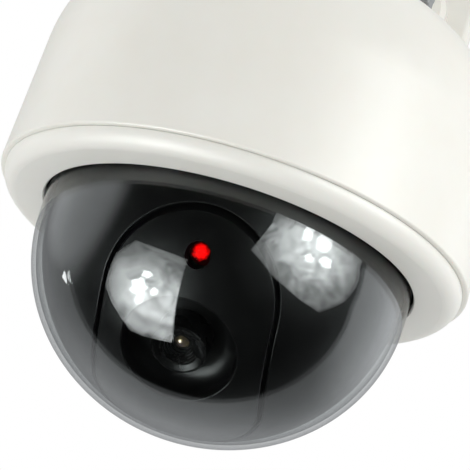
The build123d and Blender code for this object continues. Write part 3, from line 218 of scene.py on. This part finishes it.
# ------------------------------------------------------------ studio
# Surroundings that only reflections see: a white backdrop beyond an edge that leans with height, dim
# room in front of it, and directions where it is brighter or darker. A spread is a range of cosines.
ROOM_LIGHT = 0.008
BACKDROP_LIGHT = 0.70
BACKDROP_LEAN = 0.4
BACKDROP_EDGE = (0.11, 0.15)
UPPER_LEFT = direction(-96, 13)
UPPER_LEFT_SPREAD = (0.80, 0.95)
UPPER_LEFT_LIGHT = 1.4
RIGHT_SIDE = direction(118, 12)
RIGHT_SIDE_SPREAD = (0.7, 1.0)
RIGHT_SIDE_GAIN = 2.6
FAR_BEHIND = direction(198, 15)
FAR_BEHIND_SPREAD = (0.7, 0.95)
FAR_BEHIND_GAIN = 0.62
BELOW = direction(-160, -50)
BELOW_SPREAD = (0.7, 0.98)
BELOW_GAIN = 1.5
REFLECTED_TINT = (0.95, 0.975, 1.0, 1)
WHITE_LIGHT = (1, 1, 1, 1)
CAMERA_BACKGROUND = 1.0
FILL_SIDE = (0.3, 0.5, 0.8)
FILL_BRIGHT = 1.02
FILL_DIM = 0.66
INTO_WALL = (0.0, 1.0, 0.0)
UPWARD = (0.0, 0.0, 1.0)

SOFTBOX_TINT = (0.96, 1.0, 1.0)
NEAR_SOFTBOX = 0.7
FAR_SOFTBOX = 0.9
CLOTH_HEART = 0.8           # the cloth's brightest point, as a share of its distance
CLOTH_REACH = 0.63          # where it has dimmed, as a share of its distance
CLOTH_MIDDLE = 1.2
CLOTH_RIM = 0.16
FOLD_SIZE = 260
FOLD_RANGE = (0.34, 0.66, 0.4, 1.3)
CREASE_SIZE = 300
CREASE_WIDTH = 0.012
CREASE_DARK = 0.5
BULB_LIGHT = 26.0
BULB_PLACE = 0.74           # before the cloth, as a share of its distance
BULB_PETALS = 5
BULB_RIM = 40
BULB_PETAL_DEPTH = 0.22
BULB_OVAL = 0.1
LEFT_CLOTH = [(-46, -13.5), (-13, -22), (-38.7, -74.2), (-79, -59), (-76, -43), (-74, -34), (-60, -20)]
LEFT_MIDDLE = (-45, -52)
LEFT_BULBS = [(-47.7, -39.9, 0.040), (-39.5, -33.5, 0.020), (-36.4, -43.6, 0.018), (-51.4, -47.2, 0.019)]
LEFT_LIGHT = 10.5
RIGHT_CLOTH = [(28.6, 19), (60, 20), (91, 19.2), (92, 10), (87, -3), (76, -17), (61, -18.4), (40, -15),
               (21, -4)]
RIGHT_MIDDLE = (56, 15)
RIGHT_BULBS = [(61.5, 17.5, 0.040), (50.5, 18.5, 0.029), (54.7, 6.6, 0.028), (65.4, 9.5, 0.036)]
RIGHT_LIGHT = 11.0
GLINT = [(-104, -14.4), (-108.6, -15), (-105.6, -20.2)]
GLINT_LIGHT = 14.0
LAMP_SIZE = 0.5
LAMP_DISTANCE = 0.8
LEFT_LAMP_POWER = 3.0
RIGHT_LAMP_POWER = 2.0
FLOOR_HEIGHT = -2.6
FLOOR_REACH = 21
FLOOR_GRAIN = 400


def make_world():
    """White to the camera; soft fill, stronger from behind and above; the surroundings to mirrors."""
    world = bpy.data.worlds.new("studio")
    bpy.context.scene.world = world
    world.use_nodes = True
    world.cycles.sampling_method = "NONE"
    tree = world.node_tree
    tree.nodes.clear()
    output = add_node(tree, "ShaderNodeOutputWorld")
    place = add_node(tree, "ShaderNodeTexCoord").outputs["Generated"]
    path = add_node(tree, "ShaderNodeLightPath")

    def along(vector):
        facing = add_node(tree, "ShaderNodeVectorMath", operation="DOT_PRODUCT")
        facing.inputs[1].default_value = vector
        tree.links.new(place, facing.inputs[0])
        return facing.outputs["Value"]

    def towards(vector, spread, outside, inside):
        return remap(tree, along(vector), *spread, outside, inside, smooth=True)

    def background(colour):
        return add_node(tree, "ShaderNodeBackground", Color=colour, Strength=CAMERA_BACKGROUND)

    receding = calculate(tree, "MULTIPLY", calculate(tree, "MINIMUM", along(UPWARD), 0.0), BACKDROP_LEAN)
    edge = calculate(tree, "ADD", along(INTO_WALL), receding)
    mirrored = remap(tree, edge, *BACKDROP_EDGE, ROOM_LIGHT, BACKDROP_LIGHT, smooth=True)
    for gain in (towards(RIGHT_SIDE, RIGHT_SIDE_SPREAD, 1.0, RIGHT_SIDE_GAIN),
                 towards(FAR_BEHIND, FAR_BEHIND_SPREAD, 1.0, FAR_BEHIND_GAIN),
                 towards(BELOW, BELOW_SPREAD, 1.0, BELOW_GAIN)):
        mirrored = calculate(tree, "MULTIPLY", mirrored, gain)
    mirrored = calculate(tree, "MAXIMUM", mirrored,
                         towards(UPPER_LEFT, UPPER_LEFT_SPREAD, 0.0, UPPER_LEFT_LIGHT))
    to_mirrors = background(REFLECTED_TINT)
    tree.links.new(mirrored, to_mirrors.inputs["Strength"])
    to_matt = background(WHITE_LIGHT)
    tree.links.new(remap(tree, along(FILL_SIDE), -1.0, 1.0, FILL_DIM, FILL_BRIGHT),
                   to_matt.inputs["Strength"])
    unseen = blend_shaders(tree, path.outputs["Is Diffuse Ray"], to_mirrors.outputs[0],
                           to_matt.outputs[0])
    everything = blend_shaders(tree, path.outputs["Is Camera Ray"], unseen,
                               background(WHITE_LIGHT).outputs[0])
    tree.links.new(everything, output.inputs["Surface"])


def glowing(name, strength, centre=None, reach=None):
    """Emission; with a centre, cloth-like: folded and creased, and weaker away from the centre."""
    material, tree = blank(name)
    output = add_node(tree, "ShaderNodeOutputMaterial")
    glow = add_node(tree, "ShaderNodeEmission", Color=(*SOFTBOX_TINT, 1), Strength=strength)
    if centre:
        falling = remap(tree, distance_from(tree, centre), 0.0, reach, CLOTH_MIDDLE, CLOTH_RIM, smooth=True)
        folds = remap(tree, noise(tree, FOLD_SIZE, detail=6, roughness=0.62, distortion=1.8), *FOLD_RANGE)
        off_ridge = calculate(tree, "SUBTRACT", noise(tree, CREASE_SIZE, detail=4), 0.5)
        ridge = calculate(tree, "ABSOLUTE", off_ridge)
        creases = remap(tree, ridge, 0.0, CREASE_WIDTH, CREASE_DARK, 1.0, smooth=True)
        uneven = calculate(tree, "MULTIPLY", falling, calculate(tree, "MULTIPLY", folds, creases))
        tree.links.new(calculate(tree, "MULTIPLY", uneven, strength), glow.inputs["Strength"])
    tree.links.new(glow.outputs[0], output.inputs["Surface"])
    return material


def staged(name, points, faces, material):
    """A mesh of the studio, which is no part of the object."""
    mesh = bpy.data.meshes.new(name)
    mesh.from_pydata(points, [], faces)
    mesh.materials.append(material)
    thing = bpy.data.objects.new(name, mesh)
    bpy.context.collection.objects.link(thing)
    return thing


def mirrored_light(name, outline, material):
    """A flat light that only reflections see."""
    light = staged(name, outline, [range(len(outline))], material)
    light.visible_camera = False
    light.visible_diffuse = False


def bulb_outline(place, size, turn):
    """Petal-shaped outline square to the line from place to the head."""
    out = (HEAD - place).normalized()
    side = out.orthogonal().normalized()
    over = out.cross(side)
    outline = []
    for step in range(BULB_RIM):
        angle = 2 * pi * step / BULB_RIM
        petal = BULB_PETAL_DEPTH * cos(BULB_PETALS * angle + turn)
        reach = size * (1 + petal + BULB_OVAL * sin(2 * angle))
        outline.append(place + reach * (cos(angle) * side + sin(angle) * over))
    return outline


def softbox(name, distance, corners, middle, bulbs, strength):
    """Glowing cloth with its corners at (azimuth, elevation) seen from the head, and bulbs before it."""
    centre = HEAD + distance * CLOTH_HEART * direction(*middle)
    outline = [HEAD + distance * direction(*corner) for corner in corners]
    mirrored_light(name, outline, glowing(name, strength, centre, distance * CLOTH_REACH))
    for number, (azimuth, elevation, size) in enumerate(bulbs):
        place = HEAD + distance * BULB_PLACE * direction(azimuth, elevation)
        mirrored_light(f"{name}_bulb_{number + 1}", bulb_outline(place, size, number),
                       glowing(f"{name}_bulb", BULB_LIGHT))


def soft_lamp(name, azimuth, elevation, power):
    """Round diffuser in a direction seen from the head, kept out of reflections."""
    data = bpy.data.lights.new(name, "AREA")
    data.shape = "DISK"
    data.size = LAMP_SIZE
    data.energy = power
    lamp = bpy.data.objects.new(name, data)
    towards = direction(azimuth, elevation)
    lamp.location = HEAD + LAMP_DISTANCE * towards
    lamp.rotation_euler = towards.to_track_quat("Z", "Y").to_euler()
    lamp.visible_glossy = False
    bpy.context.collection.objects.link(lamp)


def make_floor():
    corners = [(-FLOOR_REACH, -FLOOR_REACH, FLOOR_HEIGHT), (FLOOR_REACH, -FLOOR_REACH, FLOOR_HEIGHT),
               (FLOOR_REACH, FLOOR_REACH, FLOOR_HEIGHT), (-FLOOR_REACH, FLOOR_REACH, FLOOR_HEIGHT)]
    material, tree, shader = principled("floor", Roughness=0.8)
    paper = vary(tree, noise(tree, FLOOR_GRAIN, detail=2))
    tree.links.new(blend_colours(tree, paper, (0.87, 0.87, 0.86), (0.90, 0.90, 0.89)),
                   shader.inputs["Base Color"])
    floor = staged("floor", corners, [(0, 1, 2, 3)], material)
    floor.visible_glossy = False


make_world()
softbox("softbox_left", NEAR_SOFTBOX, LEFT_CLOTH, LEFT_MIDDLE, LEFT_BULBS, LEFT_LIGHT)
softbox("softbox_right", FAR_SOFTBOX, RIGHT_CLOTH, RIGHT_MIDDLE, RIGHT_BULBS, RIGHT_LIGHT)
mirrored_light("glint", [HEAD + FAR_SOFTBOX * direction(*corner) for corner in GLINT],
               glowing("glint", GLINT_LIGHT))
soft_lamp("lamp_left", -60, -28, LEFT_LAMP_POWER)
soft_lamp("lamp_right", 60, 15, RIGHT_LAMP_POWER)
make_floor()
bpy.context.scene.view_settings.view_transform = "Standard"

# ------------------------------------------------------------ material parts
# Sizes and depths of surface detail are millimetres; colours are linear.
DRIFT_SIZE = 22
ROUGH_SIZE = 5
WAVE_SIZE = 9.0
SCUFF_SIZE = 6
SCUFF_STRETCH = (0.12, 1.0, 0.35)
SCUFF_LEVEL = 0.72
SCUFF_EDGE = 0.04
SCUFF_DEPTH = -0.003
SCUFF_ROUGH = 0.12
EDGE_REACH = 0.35
EDGE_LEAN = (0.995, 0.9)    # cosine between the rounded and the true normal, on the flat and worn
WORN_EDGE_SHARE = 0.6
WORN_SCUFF_SHARE = 0.25
STAIN_SIZE = 3.5
BRUSH_SIZE = 0.35
BRUSH_DEPTH = 0.006
BRIGHT_EDGE_REACH = 0.2
BRIGHT_EDGE_GAIN = 1.25


def edge_share(tree, reach_mm=EDGE_REACH):
    """1 along worn outer edges, 0 on flat ground: how far the rounded normal leans from the true one."""
    rounded = add_node(tree, "ShaderNodeBevel", samples=3, Radius=reach_mm * MM)
    true_normal = add_node(tree, "ShaderNodeNewGeometry").outputs["Normal"]
    lean = add_node(tree, "ShaderNodeVectorMath", operation="DOT_PRODUCT")
    tree.links.new(rounded.outputs[0], lean.inputs[0])
    tree.links.new(true_normal, lean.inputs[1])
    return remap(tree, lean.outputs["Value"], *EDGE_LEAN, 0.0, 1.0)


def scuffs(tree, size_mm, amount):
    """Sparse thin marks: 1 in a mark, 0 outside; amount is how much of the surface they take."""
    grain = noise(tree, size_mm, detail=6, roughness=0.65, distortion=0.6, stretch=SCUFF_STRETCH)
    level = SCUFF_LEVEL - amount
    return remap(tree, grain, level, level + SCUFF_EDGE, 0.0, 1.0)


def moulded(name, colour, other_colour, roughness, skin_size, skin_depth, wave_depth=0.01, worn=None,
            scuffed=0.05, rough_spread=0.06, **values):
    """Moulded plastic: drifting colour, fine skin, slow waves, marks that catch light, paler edges."""
    material, tree, shader = principled(name, **values)
    drift = vary(tree, noise(tree, DRIFT_SIZE, detail=4, roughness=0.6))
    tone = blend_colours(tree, drift, colour, other_colour)
    marks = scuffs(tree, SCUFF_SIZE, scuffed)
    if worn:
        rubbed = calculate(tree, "MULTIPLY", edge_share(tree), WORN_EDGE_SHARE)
        tone = blend_colours(tree, rubbed, tone, worn)
        scratched = calculate(tree, "MULTIPLY", marks, WORN_SCUFF_SHARE)
        tone = blend_colours(tree, scratched, tone, worn)
    tree.links.new(tone, shader.inputs["Base Color"])
    patches = noise(tree, ROUGH_SIZE, detail=3)
    rough = vary(tree, patches, roughness - rough_spread, roughness + rough_spread)
    rough = calculate(tree, "ADD", rough, calculate(tree, "MULTIPLY", marks, SCUFF_ROUGH))
    tree.links.new(rough, shader.inputs["Roughness"])
    waves = bump(tree, noise(tree, WAVE_SIZE, detail=1), wave_depth)
    skin = bump(tree, noise(tree, skin_size, detail=2), skin_depth, normal=waves)
    tree.links.new(bump(tree, marks, SCUFF_DEPTH, normal=skin), shader.inputs["Normal"])
    return material


def brushed(name, colour, dark, roughness, stretch, stain_rough):
    """Metal with fine brushing one way, stains, and bright edges."""
    material, tree, shader = principled(name, Metallic=1.0)
    stains = remap(tree, noise(tree, STAIN_SIZE, detail=5, roughness=0.65), 0.35, 0.7, 0.0, 1.0)
    tone = blend_colours(tree, stains, colour, dark)
    bright = tuple(min(1.0, part * BRIGHT_EDGE_GAIN) for part in colour)
    tree.links.new(blend_colours(tree, edge_share(tree, BRIGHT_EDGE_REACH), tone, bright),
                   shader.inputs["Base Color"])
    lines = noise(tree, BRUSH_SIZE, detail=4, stretch=stretch)
    rough = vary(tree, lines, roughness - 0.1, roughness + 0.12)
    rough = calculate(tree, "ADD", rough, calculate(tree, "MULTIPLY", stains, stain_rough))
    tree.links.new(rough, shader.inputs["Roughness"])
    tree.links.new(bump(tree, lines, BRUSH_DEPTH), shader.inputs["Normal"])
    return material


RUBBER_BLACK = (0.018, 0.018, 0.019)
RUBBER_BLOOM = (0.045, 0.045, 0.046)


def rubber(name):
    """Black rubber with a dull bloom in patches."""
    material, tree, shader = principled(name, Specular_IOR_Level=0.3)
    bloom = remap(tree, noise(tree, 4, detail=5, roughness=0.7), 0.45, 0.75, 0.0, 1.0)
    tree.links.new(blend_colours(tree, bloom, RUBBER_BLACK, RUBBER_BLOOM), shader.inputs["Base Color"])
    tree.links.new(remap(tree, bloom, 0.0, 1.0, 0.62, 0.85), shader.inputs["Roughness"])
    tree.links.new(bump(tree, noise(tree, 0.4, detail=3), 0.02), shader.inputs["Normal"])
    return material


MASK_GREEN = (0.010, 0.075, 0.028)
TRACK_GREEN = (0.024, 0.145, 0.050)
TINNED = (0.62, 0.62, 0.60)
TRACKS_PER_METRE = 220.0
PADS_PER_METRE = 170.0
TRACK_HEIGHT = 0.03
PAD_HEIGHT = 0.05


def board(name):
    """Circuit board: green mask over copper tracks, a few bare pads, glass weave under the mask."""
    material, tree, shader = principled(name)
    place = add_node(tree, "ShaderNodeTexCoord").outputs["Object"]
    tracks = add_node(tree, "ShaderNodeTexBrick", Scale=TRACKS_PER_METRE, Mortar_Size=0.06,
                      Brick_Width=1.3, Row_Height=0.4)
    tree.links.new(place, tracks.inputs["Vector"])
    line = tracks.outputs["Fac"]
    pads = add_node(tree, "ShaderNodeTexVoronoi", Scale=PADS_PER_METRE, Randomness=0.15)
    tree.links.new(place, pads.inputs["Vector"])
    bare = remap(tree, pads.outputs["Distance"], 0.12, 0.09, 0.0, 1.0)
    mask = blend_colours(tree, line, MASK_GREEN, TRACK_GREEN)
    tree.links.new(blend_colours(tree, bare, mask, TINNED), shader.inputs["Base Color"])
    tree.links.new(bare, shader.inputs["Metallic"])
    weave = vary(tree, noise(tree, 0.7, detail=2, stretch=(1, 6, 1)), 0.28, 0.42)
    tree.links.new(weave, shader.inputs["Roughness"])
    raised = bump(tree, line, TRACK_HEIGHT)
    tree.links.new(bump(tree, bare, PAD_HEIGHT, normal=raised), shader.inputs["Normal"])
    return material


SLEEVE_BLACK = (0.012, 0.012, 0.014)
SLEEVE_GREY = (0.022, 0.021, 0.022)
SLEEVE_COPPER = (0.52, 0.23, 0.07)
SLEEVE_BAND = 0.7           # where the coppery band starts, as a share of the cell's length
SLEEVE_BAND_EDGE = 0.1


def sleeved(name):
    """Battery sleeves: dark shrink film with a coppery band towards one end and fine creases."""
    material, tree, shader = principled(name, Coat_Weight=0.3)
    low, high = (Vector(corner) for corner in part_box("battery_cells"))
    sides = add_node(tree, "ShaderNodeSeparateXYZ")
    tree.links.new(add_node(tree, "ShaderNodeTexCoord").outputs["Object"], sides.inputs[0])
    length = high - low
    along = max(range(3), key=lambda axis: length[axis])
    band_edge = low[along] + SLEEVE_BAND * length[along]
    band = remap(tree, sides.outputs[along], band_edge - SLEEVE_BAND_EDGE * MM, band_edge, 0.0, 1.0)
    creases = noise(tree, 2.5, detail=5, roughness=0.7)
    film = blend_colours(tree, vary(tree, creases), SLEEVE_BLACK, SLEEVE_GREY)
    tree.links.new(blend_colours(tree, band, film, SLEEVE_COPPER), shader.inputs["Base Color"])
    tree.links.new(calculate(tree, "MULTIPLY", band, 0.7), shader.inputs["Metallic"])
    tree.links.new(vary(tree, creases, 0.22, 0.4), shader.inputs["Roughness"])
    tree.links.new(bump(tree, creases, 0.03), shader.inputs["Normal"])
    return material


LED_PITCH = 19.5            # degrees below level
LED_GLOW_DEPTH = 43.0       # the glow's heart, from the head's centre
LED_GLOW_UP = 0.6
LED_GLOW_RIGHT = 0.3
LED_HEART = HEAD + MM * (LED_GLOW_DEPTH * direction(0, -LED_PITCH) + LED_GLOW_UP * upright(LED_PITCH)
                         + LED_GLOW_RIGHT * Vector((1, 0, 0)))
LED_BRIGHT_REACH = 1.0
LED_DARK_REACH = 2.2
LED_MOTTLE = 0.25
LED_LIT = (0.95, 0.0015, 0.0015)
LED_UNLIT = (0.004, 0.0001, 0.0001)
EPOXY_LIT = (0.2, 0.001, 0.001)
EPOXY_UNLIT = (0.02, 0.001, 0.001)


def led_epoxy(name):
    """Red epoxy lit from its chip: bright in the middle, dark red towards the rim."""
    material, tree, shader = principled(name, Specular_IOR_Level=0.03, Emission_Strength=1.75)
    mottle = vary(tree, noise(tree, 0.9, detail=3), -LED_MOTTLE * MM, LED_MOTTLE * MM)
    reach = calculate(tree, "ADD", distance_from(tree, LED_HEART), mottle)
    dim = remap(tree, reach, LED_BRIGHT_REACH * MM, LED_DARK_REACH * MM, 0.0, 1.0, smooth=True)
    tree.links.new(blend_colours(tree, dim, LED_LIT, LED_UNLIT), shader.inputs["Emission Color"])
    tree.links.new(blend_colours(tree, dim, EPOXY_LIT, EPOXY_UNLIT), shader.inputs["Base Color"])
    tree.links.new(vary(tree, noise(tree, 0.5), 0.38, 0.5), shader.inputs["Roughness"])
    return material


COATING_AMBER = (0.46, 0.37, 0.20)
COATING_VIOLET = (0.20, 0.16, 0.21)
AMBER_SHEEN = (1.0, 0.84, 0.5)
PALE_SHEEN = (1.0, 0.9, 0.75)


def coated_glass(name):
    """Lens glass: dark inside, with the amber and violet film of its coating."""
    material, tree, shader = principled(name, IOR=1.6, Metallic=0.55, Coat_Weight=0.3,
                                        Coat_Roughness=0.03)
    film = remap(tree, noise(tree, 1.6, detail=2), 0.35, 0.65, 0.0, 1.0)
    tree.links.new(blend_colours(tree, film, COATING_AMBER, COATING_VIOLET), shader.inputs["Base Color"])
    tree.links.new(blend_colours(tree, film, AMBER_SHEEN, PALE_SHEEN), shader.inputs["Specular Tint"])
    tree.links.new(vary(tree, noise(tree, 0.3), 0.05, 0.09), shader.inputs["Roughness"])
    return material


DOME_CLARITY = (0.925, 0.94, 0.935)
DOME_HAZE = (0.91, 0.925, 0.92)
EDGE_ON = (0.62, 0.63, 0.64)
EDGE_ON_POWER = 3.0
FACE_ON_MIRROR = 0.042
MIRROR_POWER = 4.3
INNER_SHARE = 0.6           # how much the inside of the wall mirrors, beside the outside
DOME_WAVE_SIZE = 30
DOME_WAVE_DEPTH = 0.05
DUST_COLOUR = (0.75, 0.74, 0.7, 1)
DUST_LEVEL = (0.7, 0.8, 0.0004, 0.03)


def clear_shell(name):
    """Thin clear moulding: lets light straight through, mirrors more towards grazing; faint dust."""
    material, tree = blank(name)
    output = add_node(tree, "ShaderNodeOutputMaterial")
    facing = add_node(tree, "ShaderNodeLayerWeight", Blend=0.5).outputs["Facing"]
    haze = vary(tree, noise(tree, 14, detail=6, roughness=0.7))
    hazy = blend_colours(tree, haze, DOME_CLARITY, DOME_HAZE)
    thick = calculate(tree, "POWER", facing, EDGE_ON_POWER)
    through = add_node(tree, "ShaderNodeBsdfTransparent")
    tree.links.new(blend_colours(tree, thick, hazy, EDGE_ON), through.inputs["Color"])
    mirror = add_node(tree, "ShaderNodeBsdfGlossy")
    waves = bump(tree, noise(tree, DOME_WAVE_SIZE, detail=1), DOME_WAVE_DEPTH)
    tree.links.new(waves, mirror.inputs["Normal"])
    scratched = scuffs(tree, 4, 0.03)
    tree.links.new(remap(tree, scratched, 0.0, 1.0, 0.02, 0.16), mirror.inputs["Roughness"])
    inside = add_node(tree, "ShaderNodeNewGeometry").outputs["Backfacing"]
    wall = remap(tree, inside, 0.0, 1.0, 1.0, INNER_SHARE)
    grazing = calculate(tree, "MULTIPLY", calculate(tree, "POWER", facing, MIRROR_POWER), wall)
    share = remap(tree, grazing, 0.0, 1.0, FACE_ON_MIRROR, 1.0)
    clean = blend_shaders(tree, share, through.outputs[0], mirror.outputs[0])
    dust = add_node(tree, "ShaderNodeBsdfDiffuse", Color=DUST_COLOUR)
    specks = remap(tree, noise(tree, 0.55, detail=4, roughness=0.75), *DUST_LEVEL)
    tree.links.new(blend_shaders(tree, specks, clean, dust.outputs[0]), output.inputs["Surface"])
    return material


# ------------------------------------------------------------ materials, one for each slot
WHITE = (0.80, 0.795, 0.745)
WHITE_WARM = (0.78, 0.765, 0.705)
WHITE_COOL = (0.81, 0.805, 0.76)
WHITE_WORN = (0.86, 0.855, 0.82)
looks = {
    "white_plastic": moulded(
        "white_plastic", WHITE, WHITE_WARM, roughness=0.42, skin_size=0.55, skin_depth=0.012,
        wave_depth=0.02, worn=WHITE_WORN, scuffed=0.02, Subsurface_Weight=0.06, Subsurface_Scale=0.001),
    "bezel_white": moulded(
        "bezel_white", WHITE_COOL, WHITE, roughness=0.48, skin_size=0.4, skin_depth=0.006,
        wave_depth=0.015, worn=WHITE_WORN, scuffed=0.02, Subsurface_Weight=0.06, Subsurface_Scale=0.001),
    "clear_dome": clear_shell("clear_dome"),
    "black_gloss": moulded(
        "black_gloss", (0.0028, 0.0028, 0.0029), (0.0036, 0.0035, 0.0036), roughness=0.33,
        skin_size=0.35, skin_depth=0.003, wave_depth=0.02, scuffed=0.03, rough_spread=0.04,
        Specular_IOR_Level=0.25),
    "black_satin": moulded(
        "black_satin", (0.0018, 0.0018, 0.0019), (0.0034, 0.0034, 0.0034), roughness=0.27,
        skin_size=0.3, skin_depth=0.006, worn=(0.02, 0.02, 0.02), Specular_IOR_Level=0.25),
    "lens_glass": coated_glass("lens_glass"),
    "red_led": led_epoxy("red_led"),
    "natural_nylon": moulded(
        "natural_nylon", (0.72, 0.69, 0.60), (0.66, 0.62, 0.52), roughness=0.5, skin_size=0.6,
        skin_depth=0.01, Subsurface_Weight=0.25, Subsurface_Scale=0.002),
    "grey_plastic": moulded(
        "grey_plastic", (0.23, 0.235, 0.24), (0.19, 0.195, 0.2), roughness=0.5, skin_size=0.45,
        skin_depth=0.02, worn=(0.34, 0.34, 0.345), scuffed=0.06),
    "zinc_steel": brushed(
        "zinc_steel", (0.66, 0.67, 0.68), (0.50, 0.51, 0.50), roughness=0.34, stretch=(1, 9, 1),
        stain_rough=0.12),
    "spring_steel": brushed(
        "spring_steel", (0.60, 0.59, 0.57), (0.42, 0.40, 0.37), roughness=0.24, stretch=(9, 1, 1),
        stain_rough=0.0),
    "gasket_rubber": rubber("gasket_rubber"),
    "circuit_board": board("circuit_board"),
    "component_black": moulded(
        "component_black", (0.013, 0.013, 0.014), (0.022, 0.022, 0.022), roughness=0.55, skin_size=0.2,
        skin_depth=0.01, worn=(0.05, 0.05, 0.05)),
    "battery_sleeve": sleeved("battery_sleeve"),
}

EDGE_ROUND = {"white_plastic": 0.25, "bezel_white": 0.2, "black_gloss": 0.22}
PLAIN_EDGE_ROUND = 0.12
EDGE_STEPS = 3
EDGE_ANGLE = 35
for thing in nodes.values():
    slot_name = ""
    for place in thing.material_slots:
        slot_name = place.material.name.split(".")[0]
        place.material = looks[slot_name]
    edge = thing.modifiers.new("edge", "BEVEL")
    edge.width = EDGE_ROUND.get(slot_name, PLAIN_EDGE_ROUND) * MM
    edge.segments = EDGE_STEPS
    edge.limit_method = "ANGLE"
    edge.angle_limit = radians(EDGE_ANGLE)

# ------------------------------------------------------------ pieces made here
ON_AXIS = 0.0005            # a ring of a smaller radius than this, in mm, is one point
DOME_RADIUS = 46.8
DOME_WALL = 1.2
DOME_DEPTH = 43.0
DOME_WIDEST = Vector((AXIS_X, AXIS_Y, dome_low.z + DOME_DEPTH * MM))
DOME_TOP = (dome_high.z - DOME_WIDEST.z) / MM
FLANGE_RADIUS = (dome_high.x - dome_low.x) / 2 / MM
FLANGE_THICKNESS = 1.5
FLANGE_CORNER = 0.25
DOME_RINGS = 72
DOME_TURNS = 256
DOME_SHARP = 40

LENS_PITCH = 56.0           # degrees below level
LENS_RISE = 3.0
LENS_FOOT = HEAD + LENS_RISE * MM * upright(LENS_PITCH)
GLASS_RADIUS = 2.9
GLASS_EDGE = 38.95          # distances along the lens's axis
GLASS_BACK = 37.0
GLASS_CHAMFER = 0.1
GLASS_BACK_FLAT = 1.6
GLASS_BACK_DISH = 0.8
CROWN_RADIUS = 1.76
CROWN_EDGE = 1.7
CROWN_STEPS = 14
GLASS_TURNS = 72
GLASS_SHARP = 25


def surface_points(section, base, axis, turns):
    """Points of a turned section, and for each of its corners the ring of their numbers."""
    side = axis.orthogonal().normalized()
    over = axis.cross(side)
    points, rings = [], []
    for radius, height in section:
        steps = turns if radius > ON_AXIS else 1
        rings.append(range(len(points), len(points) + steps))
        for step in range(steps):
            angle = 2 * pi * step / steps
            outward = cos(angle) * side + sin(angle) * over
            points.append(base + MM * (height * axis + radius * outward))
    return points, rings


def lathed(name, section, base, axis, turns, sharp, slot_name, body, replaced):
    """Closed shell: section, a loop of (radius, height) in mm, turned about axis through base."""
    points, rings = surface_points(section, base, axis, turns)
    faces = []
    for here, there in zip(rings, rings[1:] + rings[:1]):
        for step in range(turns):
            corners = [here[step % len(here)], here[(step + 1) % len(here)],
                       there[(step + 1) % len(there)], there[step % len(there)]]
            corners = list(dict.fromkeys(corners))
            if len(corners) > 2:
                faces.append(corners)
    mesh = bpy.data.meshes.new(name)
    mesh.from_pydata(points, [], faces)
    outward = bmesh.new()
    outward.from_mesh(mesh)
    bmesh.ops.recalc_face_normals(outward, faces=outward.faces)
    outward.to_mesh(mesh)
    outward.free()
    mesh.shade_smooth()
    mesh.set_sharp_from_angle(angle=radians(sharp))
    mesh.materials.append(looks[slot_name])
    piece = bpy.data.objects.new(name, mesh)
    bpy.context.collection.objects.link(piece)
    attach(piece, body)
    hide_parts(replaced)
    return piece


def dome_section():
    """Outer half ellipse, collar and flange, then back down the inside."""
    def bowl(inset, rings):
        for ring in rings:
            angle = pi / 2 * ring / DOME_RINGS
            yield (DOME_RADIUS - inset) * sin(angle), -(DOME_DEPTH - inset) * cos(angle)

    corner = FLANGE_CORNER
    inner = DOME_RADIUS - DOME_WALL
    flange = DOME_TOP - FLANGE_THICKNESS
    outline = list(bowl(0, range(DOME_RINGS + 1)))
    outline += [(DOME_RADIUS, flange / 2), (DOME_RADIUS, flange - corner),
                (DOME_RADIUS + corner, flange), (FLANGE_RADIUS - corner, flange),
                (FLANGE_RADIUS, flange + corner), (FLANGE_RADIUS, DOME_TOP - corner),
                (FLANGE_RADIUS - corner, DOME_TOP), (inner + corner, DOME_TOP),
                (inner, DOME_TOP - corner), (inner, flange / 2)]
    outline += bowl(DOME_WALL, range(DOME_RINGS, -1, -1))
    return outline


def glass_section():
    """Front element: a steep crown in the middle of a flat edge, and a dished back."""
    widest = atan2(CROWN_EDGE, sqrt(CROWN_RADIUS ** 2 - CROWN_EDGE ** 2))
    centre = GLASS_EDGE - CROWN_RADIUS * cos(widest)
    section = []
    for step in range(CROWN_STEPS + 1):
        angle = widest * step / CROWN_STEPS
        section.append((CROWN_RADIUS * sin(angle), centre + CROWN_RADIUS * cos(angle)))
    section += [(GLASS_RADIUS - GLASS_CHAMFER, GLASS_EDGE - 0.05), (GLASS_RADIUS, GLASS_EDGE - 0.15),
                (GLASS_RADIUS, GLASS_BACK), (GLASS_BACK_FLAT, GLASS_BACK),
                (GLASS_BACK_DISH, GLASS_BACK + 0.2), (0, GLASS_BACK + 0.25)]
    return section


lathed("dome_shell", dome_section(), DOME_WIDEST, VERTICAL, DOME_TURNS, DOME_SHARP,
       "clear_dome", "cover", "dome")
lathed("front_element", glass_section(), LENS_FOOT, direction(0, -LENS_PITCH), GLASS_TURNS, GLASS_SHARP,
       "lens_glass", "head", "lens_glass")
